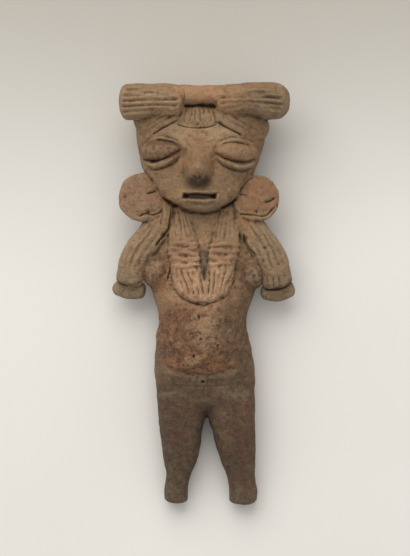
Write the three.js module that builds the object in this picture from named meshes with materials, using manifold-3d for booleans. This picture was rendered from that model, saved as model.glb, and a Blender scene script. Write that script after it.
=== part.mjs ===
// A small terracotta figurine of a standing woman: solid clay, modelled by hand and fired in one
// piece. It can't stand, so it lies on its back, on the flats that the board left in the soft clay.
//
// Millimetres. +Y runs from the heels to the top of the headdress, +X to the right of someone who
// looks at the figure's front, and +Z up, out of that front. Every size below is taken from the
// heels (up), the middle line (across) and the board (out). The finished part has its origin on
// the board, in the middle of the figure's footprint.
import * as THREE from "three";
import { mergeVertices } from "three/addons/utils/BufferGeometryUtils.js";
import Module from "manifold-3d";

const wasm = await Module();
wasm.setup();

const OUT = new THREE.Vector3(0, 0, 1);
const CLAY_COLOUR = 0x8a6c52;

// Outlines, one line for each height: the left and right edges, the front and the back.
const TORSO = [
  { up: 25.2, left: -12.6, right: 14.4, front: 11.0, back: 0.4 },
  { up: 30, left: -13.9, right: 15.1, front: 12.7, back: -0.1 },
  { up: 39, left: -14.8, right: 15.2, front: 13.4, back: -0.5 },
  { up: 47, left: -14.4, right: 14.0, front: 15.0, back: -0.4 },
  { up: 55, left: -13.5, right: 12.5, front: 15.4, back: 0.1 },
  { up: 63, left: -15.6, right: 15.0, front: 14.4, back: 0.7 },
  { up: 71, left: -17.2, right: 16.6, front: 13.6, back: 0.9 },
  { up: 78, left: -15.2, right: 14.4, front: 12.4, back: 0.9 },
  { up: 86, left: -10.8, right: 10.0, front: 10.9, back: 0.6 },
  { up: 95, left: -10.0, right: 9.2, front: 10.4, back: 0.4 },
];
const LEFT_LEG = [
  { up: 0.9, left: -11.7, right: -4.9, front: 6.9, back: 0.8 },
  { up: 3.4, left: -12.1, right: -4.9, front: 7.4, back: 0.5 },
  { up: 8.5, left: -11.4, right: -4.0, front: 8.2, back: 0.5 },
  { up: 12, left: -12.1, right: -2.5, front: 9.4, back: 0.3 },
  { up: 18, left: -12.9, right: -1.0, front: 11.2, back: 0.2 },
  { up: 22, left: -13.3, right: -0.5, front: 12.0, back: 0.1 },
  { up: 25.6, left: -13.8, right: 0.4, front: 12.6, back: 0.1 },
  { up: 36, left: -14.3, right: 0.6, front: 13.2, back: 0.3 },
];
const RIGHT_LEG = [
  { up: 0.1, left: 7.6, right: 15.2, front: 6.9, back: 0.8 },
  { up: 3.4, left: 7.3, right: 15.8, front: 7.4, back: 0.5 },
  { up: 8.5, left: 6.4, right: 15.1, front: 8.2, back: 0.5 },
  { up: 12, left: 5.0, right: 15.2, front: 9.4, back: 0.3 },
  { up: 18, left: 3.1, right: 15.3, front: 11.2, back: 0.2 },
  { up: 22, left: 2.1, right: 15.3, front: 12.0, back: 0.1 },
  { up: 25.6, left: 0.9, right: 15.3, front: 12.6, back: 0.1 },
  { up: 36, left: 0.3, right: 15.1, front: 13.2, back: 0.3 },
];
const HEAD = [
  { up: 86.9, left: -3.8, right: 2.0, front: 15.4, back: 6.4 },
  { up: 87.9, left: -6.2, right: 4.2, front: 16.6, back: 4.4 },
  { up: 89.4, left: -9.6, right: 7.1, front: 17.3, back: 3.0 },
  { up: 90.9, left: -12.1, right: 9.3, front: 17.5, back: 2.2 },
  { up: 93.3, left: -14.3, right: 11.2, front: 17.4, back: 1.2 },
  { up: 96.2, left: -16.4, right: 13.4, front: 17.1, back: 0.5 },
  { up: 99.2, left: -18.2, right: 15.2, front: 17.0, back: 0.0 },
  { up: 104.5, left: -19.6, right: 17.1, front: 16.9, back: -0.5 },
  { up: 108, left: -20.2, right: 18.1, front: 16.9, back: -0.6 },
  { up: 114, left: -20.5, right: 18.4, front: 16.4, back: -0.5 },
  { up: 121, left: -20.4, right: 18.2, front: 15.4, back: 0.4 },
];
const SLAB_WAIST = 0.42; // where a slab is widest, as a share of its depth from the back
const TRUNK_FLATNESS = 2.5;
const FACE_FLATNESS = 3.6;

// The headdress: two fluted lobes of a roll of hair or cloth, the plain band that ties them, the
// fluted tuft under the band and the two locks that part over the forehead. A run's points are
// across, up and out; where a comment says so, out is counted from the surface it lies on.
const LEFT_LOBE = {
  run: [
    [-25.1, 119.2, 13.8],
    [-20.2, 119.3, 14.4],
    [-15.3, 119.9, 14.6],
    [-10.5, 119.8, 14.8],
    [-5.6, 119.7, 14.9],
  ],
  half: [5.0, 5.5, 4.85, 4.9, 4.2],
  rise: [6.2, 7.6, 7.4],
  sink: [5.6, 6.4, 6.0],
};
const RIGHT_LOBE = {
  run: [
    [2.4, 120.1, 14.4],
    [8.1, 119.9, 14.6],
    [13.8, 120.1, 14.6],
    [19.5, 119.5, 14.4],
    [25.3, 119.5, 13.8],
  ],
  half: [3.9, 4.7, 4.9, 5.5, 4.8],
  rise: [5.4, 7.3, 6.2],
  sink: [6.0, 6.4, 5.6],
};
const BAND = { run: [[-9, 121.3, 14.6], [6.5, 121.3, 14.6]], half: [3.0], rise: [6.2], sink: [5.6] };
// Out from the face.
const TUFT = {
  run: [[-1.8, 119.0, -0.9], [-2.1, 115.4, -0.9], [-2.2, 112.1, -1.0]],
  half: [5.3, 6.2, 6.6],
  rise: [2.9, 2.8, 2.5],
  sink: [2],
};
const LOCKS = {
  runs: [
    [[-6.6, 119.3, -0.9], [-12.5, 115.9, -0.8], [-19.9, 111.6, -1.5]],
    [[2.2, 118.9, -0.9], [8.8, 115.1, -0.8], [18.0, 109.9, -1.5]],
  ],
  half: [3.9],
  rise: [2.4, 2.4, 2.1],
  sink: [2],
};

// Coffee-bean eyes: a long pellet with a thin lid strip above it and a thick one below. Out from
// the face.
const EYES = [
  {
    bean: [[-17.9, 104.6, -0.7], [-14.6, 104.9, -0.7], [-10.6, 105.1, -0.7], [-7.0, 105.7, -1.2]],
    half: [2.4, 3.0, 2.9, 2.2, 0.8],
    upperLid: [[-17.5, 107.0, -0.6], [-12.7, 108.4, -0.3], [-7.0, 106.4, -0.8]],
    lowerLid: [[-17.6, 101.5, -0.5], [-14.6, 100.5, -0.3], [-11.0, 101.6, -0.3], [-7.3, 103.9, -0.8]],
  },
  {
    bean: [[3.0, 104.9, -1.2], [7.0, 104.7, -0.7], [11.6, 104.3, -0.7], [15.1, 104.2, -0.7]],
    half: [0.8, 2.2, 2.9, 3.0, 2.4],
    upperLid: [[3.3, 106.0, -0.8], [8.8, 107.8, -0.3], [15.0, 106.4, -0.6]],
    lowerLid: [[3.2, 103.4, -0.8], [7.0, 101.0, -0.3], [11.4, 100.0, -0.2], [14.9, 101.2, -0.5]],
  },
];
const BEAN = { rise: [3.2, 3.8, 3.6, 3.0], sink: [2] };
const UPPER_LID = { half: [0.5, 0.8, 0.5], rise: [1.3, 1.7, 1.3], sink: [1.5] };
const LOWER_LID = { half: [0.6, 1.0, 0.6], rise: [1.7, 2.2, 1.7], sink: [1.5] };

const NOSE = {
  run: [[-1.2, 109.8, -1.4], [-1.5, 104.4, -1.4], [-2.0, 98.9, -1.2], [-2.0, 93.4, -1.2]],
  half: [7.0, 6.0, 5.2, 4.7, 4.3, 4.2, 3.8],
  rise: [1.0, 2.2, 3.8, 5.7, 7.7, 5.0, 0.9],
  sink: [2],
};
const LIPS = { run: [[-7.8, 91.35, -1.8], [5.0, 91.2, -1.8]], half: [2.3], rise: [2.8], sink: [2] };
const MOUTH_SLOT = { run: [[-6.4, 91.3, 1.0], [3.6, 91.2, 1.0]], half: [0.95], rise: [2], sink: [2.8] };

// A notch is given by its half turns round the disc and its middle's distance from the centre.
const EAR_DISCS = [
  {
    centre: [-18.6, 90.95, 11.4],
    radius: 7.1,
    notches: [[0.16, 4.2], [0.52, 4.9], [1.0, 4.9], [-0.33, 4.9]],
  },
  {
    centre: [15.4, 90.85, 11.4],
    radius: 6.8,
    notches: [[0.92, 4.4], [0.44, 5.0], [-0.05, 4.6], [-0.5, 4.2]],
  },
];
const DISC = { thickness: 4.2, edge: 1.2 };
const NOTCH = { reach: 2.6, half: 0.45, depth: 0.9 };

const ARMS = [
  {
    run: [[-11.4, 87, 8.8], [-16.1, 79.6, 9.4], [-20.8, 73, 9.2], [-22.7, 64.5, 8.2]],
    half: [4.0, 4.2, 4.2, 3.9],
    hand: [[-27.3, 64.7, 6.2], [-23.0, 63.4, 6.6], [-17.5, 63.5, 6.4]],
  },
  {
    run: [[11.6, 87, 8.8], [15.5, 79.6, 9.4], [20.0, 73, 9.2], [22.0, 63.8, 8.2]],
    half: [4.0, 4.3, 4.4, 4.3],
    hand: [[16.8, 63.2, 6.4], [21.5, 62.6, 6.6], [26.6, 64.6, 6.2]],
  },
];
const ARM = { rise: [3.2, 3.5, 3.6, 3.4], sink: [3.1] };
const HAND = { half: [2.1, 2.5, 2.4], rise: [2.8], sink: [2.6] };

// The two locks of hair that show beside the strands, over the tops of the arms.
const SIDE_LOCKS = {
  runs: [
    [[-11.3, 91, 9.6], [-11.5, 86, 11.4], [-12.1, 80.4, 11.2]],
    [[10.4, 91, 9.6], [11.2, 86, 10.6], [11.8, 82.0, 10.0]],
  ],
  half: [1.6, 1.9, 1.2],
  rise: [2, 2, 1.2],
  sink: [3],
};

// Two fluted strands hang from the neck, each wound with ties, and end in one bib. Out from the
// trunk.
const STRANDS = [
  {
    run: [[-7.6, 89.5, -0.5], [-6.8, 80.1, -0.5], [-5.5, 70.7, -0.5], [-3.6, 61.3, -0.5]],
    half: [1.9, 2.5, 3.9, 4.5, 4.45, 4.5, 3.6],
    ties: [
      { up: 77.4, left: -9.3, right: -1.9, half: 0.85 },
      { up: 75.8, left: -10.7, right: -2.2, half: 0.65 },
      { up: 74.5, left: -10.5, right: -1.8, half: 0.75 },
      { up: 72.7, left: -9.6, right: -1.3, half: 0.9 },
      { up: 70.8, left: -9.2, right: -1.3, half: 0.75 },
    ],
  },
  {
    run: [[6.7, 89.5, -0.5], [6.4, 80.1, -0.5], [5.0, 70.7, -0.5], [3.0, 61.3, -0.5]],
    half: [2.6, 3.0, 3.8, 4.4, 4.15, 4.1, 3.3],
    ties: [
      { up: 77.2, left: 1.6, right: 10.1, half: 0.8 },
      { up: 75.1, left: 1.2, right: 10.2, half: 0.85 },
      { up: 73.1, left: 0.9, right: 9.7, half: 0.9 },
      { up: 71.4, left: 1.2, right: 8.2, half: 0.65 },
    ],
  },
];
const STRAND = { rise: [1.9, 2.5], sink: [2] };
const TIE = { out: [0.4, 1.4, 0.4], rise: [1.2], sink: [1.4] };
const BIB = [
  { up: 59.5, left: -3.0, right: 1.4, front: 15.7, back: 8 },
  { up: 60.0, left: -4.4, right: 2.6, front: 16.2, back: 8 },
  { up: 60.8, left: -6.0, right: 4.3, front: 16.4, back: 8 },
  { up: 61.7, left: -7.2, right: 5.8, front: 16.3, back: 8 },
  { up: 63.4, left: -8.8, right: 7.5, front: 15.9, back: 8 },
  { up: 66.8, left: -9.6, right: 8.4, front: 15.2, back: 8 },
];

const BREASTS = [
  { centre: [-14.0, 69.6, 7.6], radii: [5.2, 5.6, 5.9] },
  { centre: [13.3, 68.6, 7.8], radii: [5.0, 5.4, 5.6] },
];
const BELLY = { centre: [-0.9, 49.2, 7.4], radii: [13.4, 11.0, 10.2] };
const NAVEL = {
  across: -3.15,
  up: 43.8,
  out: 1.9,
  lean: 0.4,
  ring: 2.1,
  cord: 0.6,
  squash: 0.62,
  hole: 0.7,
  holeDepth: 4,
};
const GROIN_HOLE = { across: -0.4, up: 36.3, radius: 0.8 };
const LEG_PARTING = {
  run: [[-0.3, 35.4, 0.4], [0.1, 31, 0.3], [0.6, 26, 0.9]],
  half: [0.45],
  rise: [1],
  sink: [1.2],
};

const BOARD = 300; // larger than the figure, so that it reaches past every edge

// How finely each kind of lump is faceted.
const RUN_STEPS = 10;
const TRUNK_FACETS = { rows: 18, columns: 18 };
const LEG_FACETS = { rows: 12, columns: 14 };
const HEAD_FACETS = { rows: 16, columns: 20 };
const SMALL_FACETS = { rows: 8, columns: 8 };
const TINY_FACETS = { rows: 6, columns: 6 };
const DISC_FACETS = 20;

/** A value that runs smoothly through the given ones, evenly spaced from t = 0 to t = 1. */
function graded(values) {
  if (values.length === 1) return () => values[0];
  const line = new THREE.CatmullRomCurve3(values.map((v, i) => new THREE.Vector3(i, v, 0)));
  return (t) => line.getPoint(t).y;
}

/** The share of its full section that a lump has, this far from an end rounded over a length. */
function endTaper(distance, length) {
  const gap = Math.max(0, 1 - distance / length);
  return Math.sqrt(Math.max(0, 1 - gap * gap));
}

/** How far a section stands out at a place from -1 to 1 across it. Above 2, the power flattens it. */
function bulge(across, power) {
  return Math.pow(Math.max(0, 1 - Math.pow(Math.abs(across), power)), 1 / power);
}

/**
 * A closed lump of clay. It is a ball whose rows of vertices become cross-sections: section(t)
 * gives the centre, directions, half-width, rise and sink of the one at t, from 0 to 1. Flutes
 * press in every other column of the front.
 */
function lump({ rows, columns, length, ends, section, front = 2, back = 2, flutes = 0 }) {
  const ball = new THREE.SphereGeometry(1, columns, rows);
  const spots = ball.getAttribute("position");
  for (let i = 0; i < spots.count; i++) {
    const spot = new THREE.Vector3().fromBufferAttribute(spots, i);
    const t = (1 + spot.y) / 2;
    const tip = endTaper(t * length, ends[0]) * endTaper((1 - t) * length, ends[1]);
    const turn = Math.atan2(spot.z, spot.x);
    const share = Math.abs(turn) / Math.PI;
    const across = (1 - 2 * share + Math.cos(Math.PI * share)) / 2;
    const cut = section(t);
    const pressed = Math.round((share * columns) / 2) % 2 === 0 ? flutes : 0;
    const lift = turn > 0 ? (cut.rise - pressed) * bulge(across, front) : -cut.sink * bulge(across, back);
    spot.copy(cut.centre);
    spot.addScaledVector(cut.side, cut.half * across * tip);
    spot.addScaledVector(cut.face, lift * tip);
    spots.setXYZ(i, spot.x, spot.y, spot.z);
  }
  return ball;
}

/** A roll or strip of clay laid along a run of points, with its front towards +Z. */
function strip({ run, half, rise, sink }, shape) {
  const curve = new THREE.CatmullRomCurve3(run.map((p) => new THREE.Vector3(...p)));
  const [halfAt, riseAt, sinkAt] = [half, rise, sink].map(graded);
  const section = (t) => {
    const forward = curve.getTangentAt(t);
    const side = new THREE.Vector3().crossVectors(forward, OUT).normalize();
    const face = new THREE.Vector3().crossVectors(side, forward);
    return { centre: curve.getPointAt(t), side, face, half: halfAt(t), rise: riseAt(t), sink: sinkAt(t) };
  };
  return lump({ length: curve.getLength(), section, ...shape });
}

/** The smooth cross-section of a slab at any height, from its outline's table of heights. */
function sectionOf(outline) {
  const value = (key, up) => {
    const next = Math.max(1, outline.findIndex((line) => line.up >= up));
    const [a, b] = [outline[next - 1], outline[next]];
    const slope = (i) => {
      const [c, d] = [outline[Math.max(0, i - 1)], outline[Math.min(outline.length - 1, i + 1)]];
      return (d[key] - c[key]) / (d.up - c.up);
    };
    const gap = b.up - a.up;
    const s = (up - a.up) / gap;
    const blend = s * s * (3 - 2 * s);
    const bend = gap * s * (1 - s) * ((1 - s) * slope(next - 1) - s * slope(next));
    return a[key] + (b[key] - a[key]) * blend + bend;
  };
  return (height) => {
    const up = THREE.MathUtils.clamp(height, outline[0].up, outline.at(-1).up);
    const [left, right, front, back] = ["left", "right", "front", "back"].map((key) => value(key, up));
    const middle = back + SLAB_WAIST * (front - back);
    return {
      centre: new THREE.Vector3((left + right) / 2, up, middle),
      side: new THREE.Vector3(1, 0, 0),
      face: OUT,
      half: (right - left) / 2,
      rise: front - middle,
      sink: middle - back,
    };
  };
}

/** An upright slab with the outline and depths that a table of heights gives. */
function slab(outline, shape) {
  const lowest = outline[0].up;
  const length = outline.at(-1).up - lowest;
  const at = sectionOf(outline);
  return lump({ length, section: (t) => at(lowest + t * length), ...shape });
}

/** How far out the front of a slab is, at any place across and up. */
function frontOf(outline, flatness) {
  const at = sectionOf(outline);
  return (across, up) => {
    const cut = at(up);
    const share = THREE.MathUtils.clamp((across - cut.centre.x) / cut.half, -1, 1);
    return cut.centre.z + cut.rise * bulge(share, flatness);
  };
}

const face = frontOf(HEAD, FACE_FLATNESS);
const trunk = frontOf(TORSO, TRUNK_FLATNESS);

/** A run of points that follows a surface: each point's third number is counted from it. */
function laidOn(surface, run) {
  const plan = new THREE.CatmullRomCurve3(run.map((p) => new THREE.Vector3(...p)));
  return plan.getSpacedPoints(RUN_STEPS).map((p) => [p.x, p.y, p.z + surface(p.x, p.y)]);
}

/** A ball of clay pressed on, with its own radius each way. */
function pellet(centre, radii, { rows, columns }) {
  return new THREE.SphereGeometry(1, columns, rows).scale(...radii).translate(...centre);
}

/** The torso, the legs and what is modelled on the front of the trunk. */
function body() {
  const leg = { ...LEG_FACETS, ends: [1.8, 4], front: 2.5, back: 3 };
  const navelFront = trunk(NAVEL.across, NAVEL.up) + NAVEL.out;
  return [
    slab(TORSO, { ...TRUNK_FACETS, ends: [1.6, 3], front: TRUNK_FLATNESS, back: 3.4 }),
    slab(LEFT_LEG, leg),
    slab(RIGHT_LEG, leg),
    pellet(BELLY.centre, BELLY.radii, { rows: 10, columns: 16 }),
    ...BREASTS.map((breast) => pellet(breast.centre, breast.radii, { rows: 7, columns: 10 })),
    new THREE.TorusGeometry(NAVEL.ring, NAVEL.cord, 5, 12)
      .scale(1, NAVEL.squash, 1)
      .rotateX(NAVEL.lean)
      .translate(NAVEL.across, NAVEL.up, navelFront),
  ];
}

/** The head with its nose, eyes and lips. */
function head() {
  const onFace = (piece, run = piece.run) => ({ ...piece, run: laidOn(face, run) });
  const parts = [
    slab(HEAD, { ...HEAD_FACETS, ends: [0.8, 3], front: FACE_FLATNESS, back: 3.2 }),
    strip(onFace(NOSE), { rows: 12, columns: 12, ends: [5, 1], front: 1.2 }),
    strip(onFace(LIPS), { ...SMALL_FACETS, ends: [2.4, 2.4], front: 3 }),
  ];
  for (const eye of EYES) {
    const bean = { ...BEAN, half: eye.half };
    parts.push(strip(onFace(bean, eye.bean), { rows: 8, columns: 10, ends: [2, 2] }));
    parts.push(strip(onFace(UPPER_LID, eye.upperLid), { ...TINY_FACETS, ends: [1.5, 1.5] }));
    parts.push(strip(onFace(LOWER_LID, eye.lowerLid), { ...SMALL_FACETS, ends: [2.5, 2.5] }));
  }
  return parts;
}

/** The roll over the brow, the band that ties it, the tuft and the parted locks. */
function headdress() {
  const lobe = { rows: 9, columns: 24, front: 2.6, back: 2.4, flutes: 0.6 };
  const tuft = { rows: 5, columns: 32, ends: [1.5, 2.2], front: 3, flutes: 0.5 };
  const lock = { rows: 6, columns: 14, ends: [1, 2.5], front: 3.6, flutes: 0.4 };
  return [
    strip(LEFT_LOBE, { ...lobe, ends: [2.0, 2.4] }),
    strip(RIGHT_LOBE, { ...lobe, ends: [2.4, 3.8] }),
    strip(BAND, { rows: 6, columns: 14, ends: [1, 1] }),
    strip({ ...TUFT, run: laidOn(face, TUFT.run) }, tuft),
    ...LOCKS.runs.map((run) => strip({ ...LOCKS, run: laidOn(face, run) }, lock)),
  ];
}

/** The discs in the ears, with their radial notches as separate cuts. */
function earDiscs() {
  const parts = [];
  const cuts = [];
  for (const { centre, radius, notches } of EAR_DISCS) {
    const [inner, face] = [radius - DISC.edge, DISC.thickness / 2];
    const rim = face - DISC.edge * 0.8;
    const profile = [[0, -face], [inner, -face], [radius, -rim], [radius, rim], [inner, face], [0, face]];
    const disc = new THREE.LatheGeometry(profile.map((p) => new THREE.Vector2(...p)), DISC_FACETS);
    parts.push(disc.rotateX(Math.PI / 2).translate(...centre));
    for (const [halfTurns, distance] of notches) {
      const angle = halfTurns * Math.PI;
      const run = [distance - NOTCH.reach / 2, distance + NOTCH.reach / 2].map((r) => [
        centre[0] + r * Math.cos(angle),
        centre[1] + r * Math.sin(angle),
        centre[2] + face,
      ]);
      const size = { run, half: [NOTCH.half], rise: [NOTCH.depth], sink: [NOTCH.depth] };
      cuts.push(strip(size, { rows: 4, columns: 4, ends: [0.8, 0.8] }));
    }
  }
  return { parts, cuts };
}

/** The fluted arms, the hands that show below them and the locks of hair over their tops. */
function arms() {
  const ribbon = { rows: 8, columns: 18, ends: [2, 1.6], front: 3, back: 2.4, flutes: 0.5 };
  const fist = { rows: 7, columns: 10, ends: [1.7, 1.7], front: 3, back: 2.8 };
  const limbs = ARMS.flatMap(({ run, half, hand }) => [
    strip({ ...ARM, run, half }, ribbon),
    strip({ ...HAND, run: hand }, fist),
  ]);
  const wisp = { ...SMALL_FACETS, ends: [1, 1] };
  const locks = SIDE_LOCKS.runs.map((run) => strip({ ...SIDE_LOCKS, run }, wisp));
  return [...limbs, ...locks];
}

/** The two hanging strands with their ties, and the bib that they end in. */
function strands() {
  const onTrunk = (piece, run = piece.run) => ({ ...piece, run: laidOn(trunk, run) });
  const parts = [slab(BIB, { rows: 7, columns: 28, ends: [0.6, 1.2], front: 3.2, back: 3, flutes: 0.4 })];
  for (const { run, half, ties } of STRANDS) {
    const cord = { ...STRAND, half };
    parts.push(strip(onTrunk(cord, run), { rows: 9, columns: 18, ends: [2, 3], front: 3, flutes: 0.4 }));
    for (const { up, left, right, half } of ties) {
      const across = [left, (left + right) / 2, right];
      const turn = { ...TIE, half: [half], run: across.map((x, place) => [x, up, TIE.out[place]]) };
      parts.push(strip(onTrunk(turn), { ...TINY_FACETS, ends: [0.8, 0.8], front: 2.6 }));
    }
  }
  return parts;
}

/** Cuts made with a stick in the soft clay. */
function stickMarks() {
  const slot = { ...MOUTH_SLOT, run: laidOn(face, MOUTH_SLOT.run) };
  const parting = { ...LEG_PARTING, run: laidOn(trunk, LEG_PARTING.run) };
  const { across, up, radius } = GROIN_HOLE;
  const navelFront = trunk(NAVEL.across, NAVEL.up) + NAVEL.out;
  return [
    strip(slot, { rows: 7, columns: 8, ends: [0.5, 0.5], front: 4, back: 4 }),
    strip(parting, { ...SMALL_FACETS, ends: [1, 1] }),
    pellet([across, up, trunk(across, up)], [radius, radius, radius], TINY_FACETS),
    new THREE.CylinderGeometry(NAVEL.hole, NAVEL.hole * 0.6, NAVEL.holeDepth, 8)
      .rotateX(Math.PI / 2 + NAVEL.lean)
      .translate(NAVEL.across, NAVEL.up, navelFront),
  ];
}

/** A three.js geometry as a closed solid. */
function solid(geometry) {
  geometry.deleteAttribute("normal");
  geometry.deleteAttribute("uv");
  const merged = mergeVertices(geometry, 1e-4);
  const corners = [];
  const faces = merged.index.array;
  for (let i = 0; i < faces.length; i += 3) {
    const [a, b, c] = faces.slice(i, i + 3);
    if (a !== b && b !== c && c !== a) corners.push(a, b, c);
  }
  const vertProperties = merged.getAttribute("position").array;
  const triVerts = new Uint32Array(corners);
  return new wasm.Manifold(new wasm.Mesh({ numProp: 3, vertProperties, triVerts }));
}

/** The finished figure: every lump joined, the stick marks cut and the back laid flat. */
function figure() {
  const discs = earDiscs();
  const lumps = [...body(), ...head(), ...headdress(), ...discs.parts, ...arms(), ...strands()];
  const board = new THREE.BoxGeometry(BOARD, BOARD, BOARD).translate(0, 0, -BOARD / 2);
  const cuts = [...discs.cuts, ...stickMarks(), board];
  const whole = lumps.map(solid).reduce((joined, next) => joined.add(next));
  const carved = cuts.map(solid).reduce((left, cut) => left.subtract(cut), whole);
  const made = carved.getMesh();
  const geometry = new THREE.BufferGeometry();
  geometry.setAttribute("position", new THREE.BufferAttribute(made.vertProperties, 3));
  geometry.setIndex(new THREE.BufferAttribute(made.triVerts, 1));
  geometry.computeBoundingBox();
  const middle = geometry.boundingBox.getCenter(new THREE.Vector3());
  geometry.translate(-middle.x, -middle.y, 0);
  geometry.computeVertexNormals();
  const clay = new THREE.MeshStandardMaterial({ color: CLAY_COLOUR, roughness: 0.85, metalness: 0 });
  const mesh = new THREE.Mesh(geometry, clay);
  mesh.name = "figurine";
  return mesh;
}

const group = new THREE.Group();
group.add(figure());

export default group;
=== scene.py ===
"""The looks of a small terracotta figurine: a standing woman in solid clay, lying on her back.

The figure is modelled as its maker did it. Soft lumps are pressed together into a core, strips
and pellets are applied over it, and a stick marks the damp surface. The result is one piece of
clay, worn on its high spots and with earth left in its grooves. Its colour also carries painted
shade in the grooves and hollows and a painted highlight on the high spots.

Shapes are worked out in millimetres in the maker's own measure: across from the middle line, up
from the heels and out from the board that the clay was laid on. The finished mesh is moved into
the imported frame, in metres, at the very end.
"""

import logging
import math
from dataclasses import dataclass, field
from enum import Enum
from typing import Callable, Sequence

import bmesh
import bpy
import numpy as np
from mathutils import Matrix, Vector

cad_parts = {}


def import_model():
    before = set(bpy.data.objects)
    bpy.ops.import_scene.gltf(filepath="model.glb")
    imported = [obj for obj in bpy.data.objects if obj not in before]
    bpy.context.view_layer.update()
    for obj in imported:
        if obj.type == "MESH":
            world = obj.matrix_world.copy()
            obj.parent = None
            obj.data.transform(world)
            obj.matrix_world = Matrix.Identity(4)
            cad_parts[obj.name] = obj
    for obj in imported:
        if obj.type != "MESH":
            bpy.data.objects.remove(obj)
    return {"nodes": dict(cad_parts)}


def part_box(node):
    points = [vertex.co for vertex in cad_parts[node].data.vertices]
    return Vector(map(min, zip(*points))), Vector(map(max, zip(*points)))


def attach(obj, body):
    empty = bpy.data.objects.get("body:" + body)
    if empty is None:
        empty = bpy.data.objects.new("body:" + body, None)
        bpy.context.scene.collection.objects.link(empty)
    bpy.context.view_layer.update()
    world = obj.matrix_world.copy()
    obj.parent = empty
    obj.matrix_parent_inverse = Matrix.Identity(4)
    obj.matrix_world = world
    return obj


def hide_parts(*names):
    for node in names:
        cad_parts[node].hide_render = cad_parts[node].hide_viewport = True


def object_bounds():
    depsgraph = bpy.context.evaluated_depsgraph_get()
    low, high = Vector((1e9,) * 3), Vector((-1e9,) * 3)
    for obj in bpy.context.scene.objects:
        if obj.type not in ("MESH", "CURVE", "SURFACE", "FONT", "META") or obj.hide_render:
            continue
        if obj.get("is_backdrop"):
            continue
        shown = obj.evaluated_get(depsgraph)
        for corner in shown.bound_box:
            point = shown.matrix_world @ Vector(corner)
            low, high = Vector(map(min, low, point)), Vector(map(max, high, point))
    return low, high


LOG = logging.getLogger("figurine")

Point = tuple[float, float, float]
Place = tuple[float, float]
Array = np.ndarray

MILLIMETRE = 0.001
NODE = "figurine"
BODY = "root"

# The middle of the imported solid, in the maker's measure
MIDDLE = (-0.26, 62.55)

# How many steps a smooth line takes for each point that it passes through
ROUGH_STEPS = 16
STROKE_STEPS = 4


# Smooth runs and tables


def graded(values: Sequence[float], t: Array) -> Array:
    """Runs a smooth line through evenly spaced values.

    Args:
        values: The values, from t = 0 to t = 1.
        t: Where to read the line.

    Returns:
        The line's value at each t.
    """
    knots = np.asarray(values, float)
    if len(knots) == 1:
        return np.full(np.shape(t), knots[0])
    padded = np.concatenate([[2 * knots[0] - knots[1]], knots, [2 * knots[-1] - knots[-2]]])
    place = np.clip(t, 0, 1) * (len(knots) - 1)
    start = np.minimum(place.astype(int), len(knots) - 2)
    s = place - start
    a, b, c, d = (padded[start + i] for i in range(4))
    return b + 0.5 * s * (c - a + s * (2 * a - 5 * b + 4 * c - d + s * (3 * (b - c) + d - a)))


def smooth_run(points: Sequence[Sequence[float]], count: int) -> Array:
    """Draws a smooth line through a few points.

    Args:
        points: The points to pass through.
        count: How many points to return.

    Returns:
        Points spaced evenly along the line.
    """
    rough = np.linspace(0, 1, ROUGH_STEPS * len(points))
    line = np.stack([graded(axis, rough) for axis in np.asarray(points, float).T], axis=1)
    steps = np.linalg.norm(np.diff(line, axis=0), axis=1)
    travelled = np.concatenate([[0], np.cumsum(steps)])
    even = np.linspace(0, travelled[-1], count)
    return np.stack([np.interp(even, travelled, axis) for axis in line.T], axis=1)


def smooth_step(low: float, high: float, value: Array) -> Array:
    """Rises smoothly from 0 at low to 1 at high."""
    s = np.clip((value - low) / (high - low), 0, 1)
    return s * s * (3 - 2 * s)


def bulge(across: Array, power: float) -> Array:
    """How far a section stands out, from -1 to 1 across it: above 2, the power flattens it."""
    return np.power(np.maximum(0, 1 - np.power(np.abs(across), power)), 1 / power)


class ClayNoise:
    """Smooth random unevenness in space, the same each run."""

    CELLS = 37
    LAYER_SHIFT = 9.7

    def __init__(self, seed: int) -> None:
        """Draws the random values.

        Args:
            seed: The seed of the draw.
        """
        draw = np.random.default_rng(seed)
        self.values = draw.uniform(-1, 1, (self.CELLS,) * 3)

    def at(self, spots: Array, size: float) -> Array:
        """Reads the unevenness.

        Args:
            spots: Points in millimetres, one a row.
            size: The distance over which it changes, in millimetres.

        Returns:
            A value from -1 to 1 for each point.
        """
        grid = spots / size
        base = np.floor(grid).astype(int)
        share = grid - base
        share = share * share * (3 - 2 * share)
        total = np.zeros(len(spots))
        for corner in np.ndindex(2, 2, 2):
            weight = np.prod(np.where(corner, share, 1 - share), axis=1)
            cell = (base + corner) % self.CELLS
            total += weight * self.values[cell[:, 0], cell[:, 1], cell[:, 2]]
        return total

    def layered(self, spots: Array, size: float, layers: int) -> Array:
        """Adds finer and finer unevenness.

        Args:
            spots: Points in millimetres, one a row.
            size: The coarsest layer's size, in millimetres.
            layers: How many layers, each half as large and half as strong.

        Returns:
            A value for each point, mostly from -1 to 1.
        """
        return sum(self.at(spots + self.LAYER_SHIFT * i, size / 2**i) / 2**i for i in range(layers))


# Lumps of clay


@dataclass(frozen=True)
class Shape:
    """How a lump's sections are rounded, and how finely it is made."""

    ends: tuple[float, float] = (1.0, 1.0)
    front: float = 2.0
    back: float = 2.0
    rows: int = 36
    columns: int = 48


@dataclass(frozen=True)
class Section:
    """Cross-sections of a lump: one row each of centres, directions and sizes."""

    centre: Array
    side: Array
    face: Array
    half: Array
    rise: Array
    sink: Array


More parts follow.
